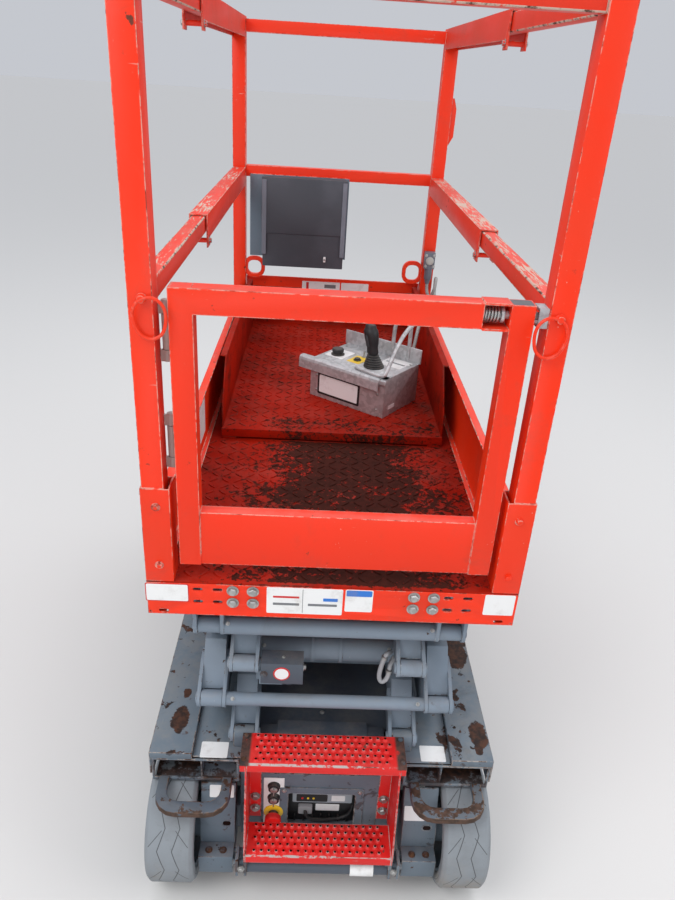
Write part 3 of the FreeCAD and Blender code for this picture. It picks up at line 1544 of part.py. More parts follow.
def make_cable():
    start = on_box(GLAND[0], BOX_DEPTH / 2 + GLAND[2], GLAND[1])
    way = box_turn.multVec(Vector(0, 1, 0))
    points = [start, start + way * 55] + [Vector(*spot) for spot in CABLE_ROUTE]
    make_cord("control_cable", points, CABLE_RADIUS)
    for spot in points:
        print("cable point mm: %.1f %.1f %.1f" % (spot.x, spot.y, spot.z))
    end = CABLE_ROUTE[-1]
    node("cable_plug", [
        rod("plug_body", "z", (end[2], end[2] + 40), end[:2], 14),
        block("plug_socket", (end[0] - 19, end[0] + 19), (end[1] - 14, guard_rear),
              (end[2] + 40, end[2] + 100)),
    ])



make_cable()


# Every piece is recomputed, checked and written to its own file.

def export_all():
    doc.recompute()
    for item in doc.Objects:
        if "Invalid" in item.State or "Error" in item.State:
            raise RuntimeError("%s did not recompute: %s" % (item.Name, item.State))
    os.makedirs("parts", exist_ok=True)
    for name, made in nodes.items():
        shape = made.Shape
        if shape.isNull() or not shape.isValid():
            raise RuntimeError("%s has no valid shape" % name)
        shape.exportStep("parts/%s.step" % name)
        print("%-22s solids %2d  volume %12.0f mm3" % (name, len(shape.Solids), shape.Volume))


export_all()
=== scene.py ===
# %% [markdown]
# # Compact scissor lift with a roll-out deck
# The CAD model already holds every solid at its real size. This lesson dresses it: each cell adds
# one finish or one family of small pieces, and says why it is made that way.

# %% Load the frame
import math
import json

import bmesh
import bpy
from mathutils import Matrix, Vector


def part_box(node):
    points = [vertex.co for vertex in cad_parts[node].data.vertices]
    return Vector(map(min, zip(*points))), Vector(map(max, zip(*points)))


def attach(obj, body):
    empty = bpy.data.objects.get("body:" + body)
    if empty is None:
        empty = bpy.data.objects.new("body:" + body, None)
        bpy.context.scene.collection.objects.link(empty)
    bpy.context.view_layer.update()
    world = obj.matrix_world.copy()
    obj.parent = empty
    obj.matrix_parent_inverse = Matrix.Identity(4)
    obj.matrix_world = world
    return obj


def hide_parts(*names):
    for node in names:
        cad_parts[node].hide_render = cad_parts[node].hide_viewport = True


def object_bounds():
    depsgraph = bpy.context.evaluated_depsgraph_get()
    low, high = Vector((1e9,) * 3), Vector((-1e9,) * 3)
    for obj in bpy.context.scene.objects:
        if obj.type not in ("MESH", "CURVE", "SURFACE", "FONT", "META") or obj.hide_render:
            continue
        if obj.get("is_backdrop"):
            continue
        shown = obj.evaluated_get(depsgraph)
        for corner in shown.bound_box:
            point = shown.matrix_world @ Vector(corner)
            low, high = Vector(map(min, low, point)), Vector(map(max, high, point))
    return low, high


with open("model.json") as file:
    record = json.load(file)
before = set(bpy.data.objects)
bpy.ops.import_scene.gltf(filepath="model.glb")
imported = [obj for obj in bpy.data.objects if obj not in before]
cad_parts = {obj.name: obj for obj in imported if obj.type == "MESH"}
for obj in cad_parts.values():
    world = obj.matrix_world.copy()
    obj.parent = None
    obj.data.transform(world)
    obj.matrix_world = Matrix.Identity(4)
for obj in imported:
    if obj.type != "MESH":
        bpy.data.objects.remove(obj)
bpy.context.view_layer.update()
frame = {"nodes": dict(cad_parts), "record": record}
BODY_OF = {
    node: body
    for body, members in frame["record"]["behaviour"]["bodies"].items()
    for node in members
}

# %% [markdown]
# The photograph was taken by hand from behind the ladder, about 1.8 m up and looking down, and the
# phone was tilted a little to one side. The three turns below repeat that. The lens value follows
# from the tall frame: its long side is the sensor's 36 mm.

# %% Camera
EYE = Vector((-0.0628, -1.9851, 1.8327))
LOOK_DOWN = 0.4739
TURN_LEFT = -0.0426
TILT = 0.063
FOCAL_PIXELS = 742.4
IMAGE_HEIGHT = 900


def aim_camera():
    """Places the camera from its eye point and three turns in radians."""
    across = Vector((math.cos(TURN_LEFT), math.sin(TURN_LEFT), 0))
    level = Vector((-math.sin(TURN_LEFT), math.cos(TURN_LEFT), 0))
    ahead = level * math.cos(LOOK_DOWN) - Vector((0, 0, math.sin(LOOK_DOWN)))
    up = level * math.sin(LOOK_DOWN) + Vector((0, 0, math.cos(LOOK_DOWN)))
    right = across * math.cos(TILT) + up * math.sin(TILT)
    above = up * math.cos(TILT) - across * math.sin(TILT)
    data = bpy.data.cameras.new("photo_camera")
    data.sensor_width = 36
    data.lens = FOCAL_PIXELS / IMAGE_HEIGHT * data.sensor_width
    camera = bpy.data.objects.new("photo_camera", data)
    turn = Matrix((right, above, -ahead)).transposed()
    camera.matrix_world = Matrix.Translation(EYE) @ turn.to_4x4()
    bpy.context.scene.collection.objects.link(camera)
    bpy.context.scene.camera = camera
    return camera


camera = aim_camera()
print("lens", round(camera.data.lens, 2), "mm")

# %% [markdown]
# One lamp would leave half of the machine in the dark. A pale floor and four large soft lamps show
# every side: a key from the upper left rear, a fill from the right, one high over the front and a low
# one under the deck. Gloss paint mirrors the horizon at a flat angle and turns milky there, so the sky
# is dim near the horizon and bright overhead, and only the camera sees it as one pale tone. The film
# look of the default view turns a strong red pink, so the plain view is used.

# %% Floor, sky and lamps


def make_floor():
    mesh = bpy.data.meshes.new("floor")
    span = 60
    mesh.from_pydata(
        [(-span, -span, 0), (span, -span, 0), (span, span, 0), (-span, span, 0)], [], [(0, 1, 2, 3)]
    )
    floor = bpy.data.objects.new("floor", mesh)
    bpy.context.scene.collection.objects.link(floor)
    material = bpy.data.materials.new("pale_floor")
    material.use_nodes = True
    shader = material.node_tree.nodes["Principled BSDF"]
    shader.inputs["Base Color"].default_value = (0.62, 0.61, 0.59, 1)
    shader.inputs["Roughness"].default_value = 0.75
    mesh.materials.append(material)
    floor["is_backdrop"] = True
    return floor


def make_lamp(name, place, target, size, power):
    data = bpy.data.lights.new(name, "AREA")
    data.shape = "RECTANGLE"
    data.size, data.size_y = size
    data.energy = power
    lamp = bpy.data.objects.new(name, data)
    lamp.location = place
    lamp.rotation_euler = (Vector(target) - Vector(place)).to_track_quat("-Z", "Y").to_euler()
    bpy.context.scene.collection.objects.link(lamp)
    return lamp


make_floor()
LAMPS = [
    # name, place, aimed at, size, watts
    ("key_lamp", (-2.4, -2.6, 4.2), (0, 0, 0.8), (2.4, 2.4), 89),
    ("fill_lamp", (3.4, -2.0, 2.6), (0, 0, 0.7), (2.0, 2.6), 41),
    ("front_lamp", (0.9, 2.4, 4.8), (0, 0, 0.9), (3.0, 2.0), 65),
    ("low_lamp", (-0.4, -4.2, 1.0), (0, -0.7, 0.4), (2.4, 1.2), 24),
]
for name, place, target, size, power in LAMPS:
    make_lamp(name, place, target, size, power)


def make_sky(low, high, seen):
    """A sky that lights from low at the horizon to high overhead, and looks one pale tone."""
    world = bpy.data.worlds.new("soft_sky")
    bpy.context.scene.world = world
    world.use_nodes = True
    nodes, links = world.node_tree.nodes, world.node_tree.links
    split = nodes.new("ShaderNodeSeparateXYZ")
    links.new(nodes.new("ShaderNodeTexCoord").outputs["Generated"], split.inputs[0])
    rise = nodes.new("ShaderNodeMapRange")
    links.new(split.outputs["Z"], rise.inputs["Value"])
    rise.inputs["From Max"].default_value = 0.8
    rise.inputs["To Min"].default_value = low
    rise.inputs["To Max"].default_value = high
    shown = nodes.new("ShaderNodeMix")
    links.new(nodes.new("ShaderNodeLightPath").outputs["Is Camera Ray"], shown.inputs["Factor"])
    links.new(rise.outputs["Result"], shown.inputs["A"])
    shown.inputs["B"].default_value = seen
    sky = nodes["Background"]
    sky.inputs["Color"].default_value = (0.90, 0.93, 1.0, 1)
    links.new(shown.outputs["Result"], sky.inputs["Strength"])


make_sky(0.28, 1.15, 0.62)
bpy.context.scene.view_settings.view_transform = "Standard"
print("lamps", len(LAMPS))

# %% [markdown]
# Every finish is a node tree on Object coordinates, so a pattern keeps its size from piece to piece
# and stays put when a body moves. `Finish` keeps the wiring short: it adds a node, sets it, links it.

# %% A short way to write node trees


class Finish:
    """A material with its Principled shader and helpers that add and link nodes."""

    def __init__(self, name, roughness=0.5, metallic=0.0, index=1.45):
        self.material = bpy.data.materials.new(name)
        self.material.use_nodes = True
        self.tree = self.material.node_tree
        self.shader = self.tree.nodes["Principled BSDF"]
        self.shader.inputs["Roughness"].default_value = roughness
        self.shader.inputs["Metallic"].default_value = metallic
        self.shader.inputs["IOR"].default_value = index
        self.place = self.add("ShaderNodeTexCoord").outputs["Object"]

    def add(self, kind, **settings):
        node = self.tree.nodes.new(kind)
        for name, value in settings.items():
            setattr(node, name, value)
        return node

    def feed(self, socket, value):
        """Links a socket, or sets it when the value is a number or colour."""
        if isinstance(value, bpy.types.NodeSocket):
            self.tree.links.new(value, socket)
        else:
            socket.default_value = value

    def stretched(self, scale):
        mapping = self.add("ShaderNodeMapping")
        self.feed(mapping.inputs["Vector"], self.place)
        mapping.inputs["Scale"].default_value = scale
        return mapping.outputs["Vector"]

    def noise(self, scale, detail=4.0, rough=0.55, vector=None, distortion=0.0):
        node = self.add("ShaderNodeTexNoise")
        self.feed(node.inputs["Vector"], vector or self.place)
        node.inputs["Scale"].default_value = scale
        node.inputs["Detail"].default_value = detail
        node.inputs["Roughness"].default_value = rough
        node.inputs["Distortion"].default_value = distortion
        return node.outputs["Fac"]

    def ramp(self, value, low, high):
        """0 below low, 1 above high."""
        node = self.add("ShaderNodeMapRange", interpolation_type="SMOOTHSTEP")
        self.feed(node.inputs["Value"], value)
        node.inputs["From Min"].default_value = low
        node.inputs["From Max"].default_value = high
        return node.outputs["Result"]

    def math(self, operation, first, second=0.0, clamp=True):
        node = self.add("ShaderNodeMath", operation=operation,
                        use_clamp=clamp and operation != "SUBTRACT")
        self.feed(node.inputs[0], first)
        self.feed(node.inputs[1], second)
        return node.outputs[0]

    def sides(self):
        """The place along x, y and z, as three numbers."""
        split = self.add("ShaderNodeSeparateXYZ")
        self.feed(split.inputs[0], self.place)
        return split.outputs

    def within(self, value, low, high, soft):
        """1 between low and high, fading over soft at each end."""
        return self.math("MULTIPLY", self.ramp(value, low - soft, low + soft),
                         self.math("SUBTRACT", 1.0, self.ramp(value, high - soft, high + soft)))

    def mix(self, factor, first, second):
        node = self.add("ShaderNodeMix", data_type="RGBA")
        self.feed(node.inputs["Factor"], factor)
        self.feed(node.inputs["A"], first)
        self.feed(node.inputs["B"], second)
        return node.outputs["Result"]

    def blend_numbers(self, factor, first, second):
        node = self.add("ShaderNodeMix", data_type="FLOAT")
        self.feed(node.inputs["Factor"], factor)
        self.feed(node.inputs["A"], first)
        self.feed(node.inputs["B"], second)
        return node.outputs["Result"]

    def edges(self, radius):
        """1 on outer edges: where a rounded normal differs from the true one."""
        bevel = self.add("ShaderNodeBevel", samples=4)
        bevel.inputs["Radius"].default_value = radius
        flat = self.add("ShaderNodeNewGeometry").outputs["Normal"]
        dot = self.add("ShaderNodeVectorMath", operation="DOT_PRODUCT")
        self.feed(dot.inputs[0], bevel.outputs["Normal"])
        self.feed(dot.inputs[1], flat)
        return self.math("SUBTRACT", 1.0, dot.outputs["Value"])

    def upward(self):
        """How far a face looks up, from 0 to 1."""
        split = self.add("ShaderNodeSeparateXYZ")
        self.feed(split.inputs[0], self.add("ShaderNodeNewGeometry").outputs["Normal"])
        return self.ramp(split.outputs["Z"], 0.6, 0.95)

    def bump(self, height, strength, distance):
        node = self.add("ShaderNodeBump")
        node.inputs["Strength"].default_value = strength
        node.inputs["Distance"].default_value = distance
        self.feed(node.inputs["Height"], height)
        self.feed(self.shader.inputs["Normal"], node.outputs["Normal"])

    def finish(self, colour, roughness=None):
        self.feed(self.shader.inputs["Base Color"], colour)
        if roughness is not None:
            self.feed(self.shader.inputs["Roughness"], roughness)
        return self.material


print("finish helper ready")

# %% [markdown]
# Paint on a hired machine is never one colour. It fades in broad clouds, is rubbed through along its
# edges, chips in small spots that rust, collects dust on faces that look up, and carries fine
# scratches. One builder makes all the paints here, so each only states its colours and its wear. Each
# paint has a twin for the narrow rounded edges, where it is rubbed down to the metal.

# %% Worn paint


def worn_paint(name, colour, faded, under, rust, wear=0.5, dust=0.3, chips=0.5, gloss=0.32,
               dirt_colour=(0.11, 0.085, 0.06, 1), grime=0.35, worn_area=None, bare_area=None,
               index=1.38, at_edge=False):
    """Paint from its colour, its faded colour, what shows under it and its rust.

    worn_area and bare_area are functions that give 1 where the paint is gone: the first shows
    rust or dirt, the second what is under the paint. at_edge makes the twin for rounded edges.
    """
    paint = Finish(name, roughness=gloss, index=index)
    broad = paint.ramp(paint.noise(2.6, 5, 0.6), 0.35, 0.72)
    colour_now = paint.mix(broad, colour, faded)
    streaks = paint.ramp(paint.noise(9.0, 8, 0.7, distortion=0.6), 0.52, 0.78)
    colour_now = paint.mix(paint.math("MULTIPLY", streaks, grime), colour_now, dirt_colour)
    scratch_one = paint.noise(1.0, 3, 0.5, vector=paint.stretched((240, 14, 150)))
    scratch_two = paint.noise(1.0, 3, 0.5, vector=paint.stretched((18, 260, 120)))
    scratches = paint.math("MAXIMUM", paint.ramp(scratch_one, 0.71, 0.76),
                           paint.ramp(scratch_two, 0.72, 0.77))
    scratches = paint.math("MULTIPLY", scratches, paint.ramp(paint.noise(5.5, 3), 0.48, 0.62))
    breakup = paint.noise(38.0, 6, 0.65)
    rubbed = paint.math("ADD", breakup, paint.math("MULTIPLY", paint.noise(4.6, 3), 0.55))
    edge = paint.ramp(rubbed, 0.98 - 0.28 * wear, 1.06 - 0.28 * wear)
    if not at_edge:
        edge = paint.math("MULTIPLY", paint.ramp(paint.edges(0.004), 0.03, 0.16), edge)
    spots = paint.math("MULTIPLY", paint.ramp(paint.noise(46.0, 5, 0.6), 0.66, 0.70),
                       paint.ramp(paint.noise(4.2, 3), 0.64 - 0.2 * chips, 0.74 - 0.2 * chips))
    colour_now = paint.mix(paint.math("MULTIPLY", scratches, 0.45 * wear + 0.1), colour_now, under)
    colour_now = paint.mix(edge, colour_now, paint.mix(paint.ramp(breakup, 0.5, 0.62), under, rust))
    colour_now = paint.mix(spots, colour_now, rust)
    dusty = paint.math("MULTIPLY", paint.math("MULTIPLY", paint.upward(), dust),
                       paint.ramp(paint.noise(12.0, 6, 0.7), 0.38, 0.7))
    if bare_area:
        bare = bare_area(paint)
        colour_now = paint.mix(bare, colour_now, under)
        edge = paint.math("MAXIMUM", edge, bare)
    if worn_area:
        patch = worn_area(paint)
        grainy = paint.ramp(paint.noise(64.0, 5), 0.35, 0.65)
        colour_now = paint.mix(patch, colour_now, paint.mix(grainy, rust, dirt_colour))
        spots = paint.math("MAXIMUM", spots, paint.math("MULTIPLY", patch, 0.8))
        dusty = paint.math("MULTIPLY", dusty, paint.math("SUBTRACT", 1.0, patch))
    colour_now = paint.mix(dusty, colour_now, (0.30, 0.26, 0.21, 1))
    rough = paint.blend_numbers(paint.math("MAXIMUM", dusty, paint.math("MAXIMUM", edge, spots)),
                                paint.blend_numbers(broad, gloss, gloss + 0.16), 0.75)
    height = paint.math("SUBTRACT", paint.math("MULTIPLY", paint.noise(420.0, 2), 0.12),
                        paint.math("MAXIMUM", spots, scratches))
    paint.bump(height, 0.22, 0.0006)
    return paint.finish(colour_now, rough)


def trodden(paint):
    """Where boots have worn the decks: a broad dark field behind the gate and spots elsewhere."""
    x, y, z = paint.sides()
    cloud = paint.blend_numbers(0.62, paint.noise(13.0, 8, 0.72, distortion=0.4),
                                paint.noise(70.0, 6, 0.75))
    behind_gate = paint.within(y, -0.762, -0.116, 0.004)
    core = paint.math("MULTIPLY", paint.within(x, -0.13, 0.205, 0.09), behind_gate)
    beside = paint.math("MULTIPLY", paint.within(x, -0.24, 0.39, 0.07), behind_gate)
    deck_edge = paint.math("MULTIPLY", paint.within(y, -0.116, -0.02, 0.03),
                           paint.within(x, -0.17, 0.30, 0.05))
    level = paint.math("ADD", cloud, paint.math("MULTIPLY", core, 0.11), clamp=False)
    level = paint.math("ADD", level, paint.math("MULTIPLY", beside, 0.062), clamp=False)
    level = paint.math("ADD", level, paint.math("MULTIPLY", deck_edge, 0.075), clamp=False)
    return paint.math("MULTIPLY", paint.ramp(level, 0.565, 0.620), 0.94)


def rusted_ends(paint):
    """The ends of the upper step, where the paint is gone."""
    x, y, z = paint.sides()
    wide = paint.math("ABSOLUTE", x)
    ends = paint.math("MULTIPLY", paint.ramp(wide, 0.163, 0.170), paint.ramp(z, 0.436, 0.440))
    return paint.math("MULTIPLY", ends, paint.ramp(paint.noise(30, 6, 0.7), 0.30, 0.45))


def step_noses(paint):
    """The rear edge of each step, which boots keep bright."""
    x, y, z = paint.sides()
    upper = paint.math("MULTIPLY", paint.within(y, -0.8345, -0.8290, 0.0012),
                       paint.ramp(z, 0.4385, 0.4410))
    lower = paint.math("MULTIPLY", paint.within(y, -0.8745, -0.8685, 0.001),
                       paint.within(z, 0.1800, 0.1870, 0.001))
    fading = paint.math("MULTIPLY", paint.ramp(x, -0.02, 0.16), 0.10)
    broken = paint.ramp(paint.math("SUBTRACT", paint.noise(34, 7, 0.75), fading), 0.46, 0.52)
    return paint.math("MULTIPLY", paint.math("MAXIMUM", upper, lower), broken)


def slid_tops(paint):
    """Scrapes along the tops of the rails that slide through each other."""
    x, y, z = paint.sides()
    streaks = paint.noise(1.0, 6, 0.7, vector=paint.stretched((210, 17, 60)), distortion=0.4)
    clouds = paint.math("MULTIPLY", paint.noise(7, 4), 0.5)
    right_side = paint.math("MULTIPLY", paint.ramp(x, -0.05, 0.05), 0.05)
    level = paint.math("ADD", paint.math("ADD", streaks, clouds, clamp=False), right_side,
                       clamp=False)
    return paint.math("MULTIPLY", paint.ramp(level, 0.80, 0.85), paint.upward())


def blotches(paint, places):
    """Ragged patches of rust; each place is (x, y, half width, half length) in metres."""
    x, y, z = paint.sides()
    ragged = paint.math("MULTIPLY", paint.noise(24, 6, 0.65), 1.5, clamp=False)
    worst = 0.0
    for place_x, place_y, half_wide, half_long in places:
        over = paint.math("DIVIDE", paint.math("SUBTRACT", x, place_x), half_wide, clamp=False)
        along = paint.math("DIVIDE", paint.math("SUBTRACT", y, place_y), half_long, clamp=False)
        away = paint.math("SQRT", paint.math("ADD", paint.math("MULTIPLY", over, over, clamp=False),
                                             paint.math("MULTIPLY", along, along, clamp=False),
                                             clamp=False), clamp=False)
        level = paint.math("ADD", away, ragged, clamp=False)
        worst = paint.math("MAXIMUM", worst, paint.math(
            "SUBTRACT", 1.0, paint.ramp(level, 1.55, 1.65)))
    return worst


def rust_patches(paint):
    """Rust on the chassis: big patches on the wings, inside the fork pockets and small spots."""
    x, y, z = paint.sides()
    wings = paint.math("MULTIPLY", blotches(paint, [
        (-0.348, -0.667, 0.024, 0.046), (-0.345, -0.585, 0.012, 0.020),
        (0.380, -0.690, 0.028, 0.044), (0.374, -0.735, 0.012, 0.020),
        (0.372, -0.410, 0.034, 0.080), (0.366, -0.300, 0.020, 0.045),
        (-0.372, 0.250, 0.03, 0.07), (0.360, 0.480, 0.03, 0.06)]), paint.ramp(z, 0.392, 0.398))
    wide = paint.math("ABSOLUTE", x)
    pocket = paint.math("MULTIPLY", paint.within(wide, 0.207, 0.398, 0.002),
                        paint.within(z, 0.3090, 0.3775, 0.001))
    pocket = paint.math("MULTIPLY", pocket, paint.within(y, -0.80, -0.30, 0.08))
    pocket = paint.math("MULTIPLY", pocket, paint.ramp(paint.noise(16, 7, 0.7), 0.42, 0.50))
    cloud = paint.ramp(paint.noise(9.5, 7, 0.6, distortion=0.4), 0.615, 0.635)
    small = paint.ramp(paint.noise(38, 5, 0.6), 0.655, 0.675)
    both = paint.math("MULTIPLY", paint.math("MAXIMUM", cloud, small),
                      paint.math("ADD", paint.upward(), 0.6))
    return paint.math("MAXIMUM", both, paint.math("MAXIMUM", wings, pocket))


def loop_rust(paint):
    """The tie loops have lost their paint outside, where chains rub, and a few chips on top."""
    x, y, z = paint.sides()
    outer = paint.math("MULTIPLY", paint.math("SUBTRACT", 1.0, paint.upward()),
                       paint.math("SUBTRACT", 1.0, paint.ramp(y, -0.850, -0.820)))
    bared = paint.math("MULTIPLY", outer, paint.ramp(paint.noise(40, 7, 0.7), 0.30, 0.40))
    right_side = paint.math("MULTIPLY", paint.ramp(x, -0.1, 0.1), 0.09)
    level = paint.math("ADD", paint.noise(34, 6, 0.65), right_side)
    chips = paint.ramp(level, 0.565, 0.595)
    return paint.math("MAXIMUM", bared, paint.math("MULTIPLY", chips, paint.upward()))


PAINT_RECIPES = {
    "guard_red": dict(
        colour=(0.82, 0.028, 0.0025, 1), faded=(0.74, 0.034, 0.005, 1),
        under=(0.62, 0.42, 0.34, 1), rust=(0.085, 0.030, 0.016, 1),
        wear=1.0, dust=0.20, chips=0.65, gloss=0.36, grime=0.20),
    "rail_red": dict(
        colour=(0.74, 0.027, 0.005, 1), faded=(0.64, 0.036, 0.011, 1),
        under=(0.55, 0.42, 0.34, 1), rust=(0.085, 0.030, 0.016, 1),
        wear=1.15, dust=0.15, chips=0.5, gloss=0.40, grime=0.25, bare_area=slid_tops),
    "deck_red": dict(
        colour=(0.35, 0.010, 0.002, 1), faded=(0.21, 0.008, 0.002, 1),
        under=(0.11, 0.035, 0.025, 1), rust=(0.033, 0.011, 0.007, 1),
        wear=0.8, dust=0.06, chips=1.4, gloss=0.55, grime=0.75, worn_area=trodden,
        index=1.16, dirt_colour=(0.020, 0.008, 0.005, 1)),
    "ladder_red": dict(
        colour=(0.70, 0.012, 0.011, 1), faded=(0.60, 0.017, 0.014, 1),
        under=(0.46, 0.41, 0.39, 1), rust=(0.10, 0.045, 0.033, 1),
        wear=0.95, dust=0.08, chips=0.55, gloss=0.34, grime=0.2, worn_area=rusted_ends,
        bare_area=step_noses, dirt_colour=(0.03, 0.022, 0.02, 1)),
    "arm_grey": dict(
        colour=(0.175, 0.220, 0.272, 1), faded=(0.215, 0.256, 0.302, 1),
        under=(0.45, 0.46, 0.47, 1), rust=(0.055, 0.030, 0.020, 1),
        wear=0.65, dust=0.22, chips=0.85, gloss=0.42, grime=0.25),
    "chassis_grey": dict(
        colour=(0.110, 0.142, 0.175, 1), faded=(0.150, 0.184, 0.215, 1),
        under=(0.34, 0.30, 0.27, 1), rust=(0.070, 0.027, 0.014, 1),
        wear=0.95, dust=0.30, chips=1.0, gloss=0.46, grime=0.40, worn_area=rust_patches,
        dirt_colour=(0.018, 0.010, 0.008, 1)),
    "loop_grey": dict(
        colour=(0.080, 0.102, 0.130, 1), faded=(0.105, 0.128, 0.155, 1),
        under=(0.20, 0.14, 0.10, 1), rust=(0.092, 0.050, 0.034, 1),
        wear=0.9, dust=0.15, chips=1.0, gloss=0.55, grime=0.4, worn_area=loop_rust,
        dirt_colour=(0.045, 0.027, 0.018, 1)),
    "rim_grey": dict(
        colour=(0.125, 0.165, 0.205, 1), faded=(0.15, 0.19, 0.225, 1),
        under=(0.2, 0.2, 0.2, 1), rust=(0.08, 0.04, 0.02, 1),
        wear=0.6, dust=0.6, chips=0.5, gloss=0.5, grime=0.5),
    "dark_cover": dict(
        colour=(0.058, 0.072, 0.094, 1), faded=(0.080, 0.095, 0.118, 1),
        under=(0.13, 0.13, 0.14, 1), rust=(0.05, 0.03, 0.02, 1),
        wear=0.4, dust=0.25, chips=0.2, gloss=0.42, grime=0.15),
    "cylinder_black": dict(
        colour=(0.015, 0.016, 0.018, 1), faded=(0.03, 0.03, 0.032, 1),
        under=(0.15, 0.15, 0.15, 1), rust=(0.06, 0.03, 0.02, 1),
        wear=0.5, dust=0.4, chips=0.2, gloss=0.35, grime=0.3),
}
PAINTS = {}
for name, recipe in PAINT_RECIPES.items():
    PAINTS[name] = worn_paint(name, **recipe)
    PAINTS[name + "_edge"] = worn_paint(name + "_edge", at_edge=True, **recipe)
print("paints", len(PAINTS))

# %% [markdown]
# The other finishes are metal, plastic and rubber. Galvanised steel shows large pale crystals, tyres
# of this kind are light grey and dusty, and moulded plastic has a fine even grain.

# %% Metal, plastic and rubber


def zinc_steel(name, tint, dull, metallic=0.85):
    steel = Finish(name, roughness=dull, metallic=metallic)
    cells = steel.add("ShaderNodeTexVoronoi")
    steel.feed(cells.inputs["Vector"], steel.place)
    cells.inputs["Scale"].default_value = 95
    grain = steel.ramp(cells.outputs["Color"], 0.1, 0.9)
    pale = tuple(min(1.0, part * 1.35) for part in tint[:3]) + (1,)
    colour = steel.mix(grain, tint, pale)
    marks = steel.ramp(steel.noise(16, 7, 0.7), 0.56, 0.74)
    colour = steel.mix(steel.math("MULTIPLY", marks, 0.55), colour, (0.10, 0.085, 0.07, 1))
    steel.bump(steel.noise(140, 4), 0.12, 0.0004)
    return steel.finish(colour, steel.blend_numbers(marks, dull, dull + 0.28))


def moulded(name, tint, dull=0.5, grain=700, dust=0.3, index=1.45):
    plastic = Finish(name, roughness=dull, index=index)
    cloud = plastic.ramp(plastic.noise(7, 5), 0.4, 0.75)
    lighter = tuple(min(1.0, part * 1.3 + 0.006) for part in tint[:3]) + (1,)
    colour = plastic.mix(cloud, tint, lighter)
    dusty = plastic.math("MULTIPLY", plastic.math("MULTIPLY", plastic.upward(), dust),
                         plastic.ramp(plastic.noise(14, 6, 0.7), 0.35, 0.7))
    colour = plastic.mix(dusty, colour, (0.26, 0.23, 0.19, 1))
    plastic.bump(plastic.noise(grain, 2), 0.16, 0.0003)
    return plastic.finish(colour, plastic.blend_numbers(dusty, dull, 0.8))


def dusty_rubber(name, tint, stain, amount=0.5):
    rubber = Finish(name, roughness=0.78)
    cloud = rubber.ramp(rubber.noise(11, 7, 0.65), 0.38, 0.72)
    colour = rubber.mix(rubber.math("MULTIPLY", cloud, amount), tint, stain)
    scuffs = rubber.ramp(rubber.noise(60, 6, 0.7), 0.58, 0.72)
    colour = rubber.mix(rubber.math("MULTIPLY", scuffs, 0.4), colour, (0.09, 0.08, 0.07, 1))
    rubber.bump(rubber.noise(220, 5), 0.3, 0.0006)
    return rubber.finish(colour, rubber.blend_numbers(scuffs, 0.74, 0.9))


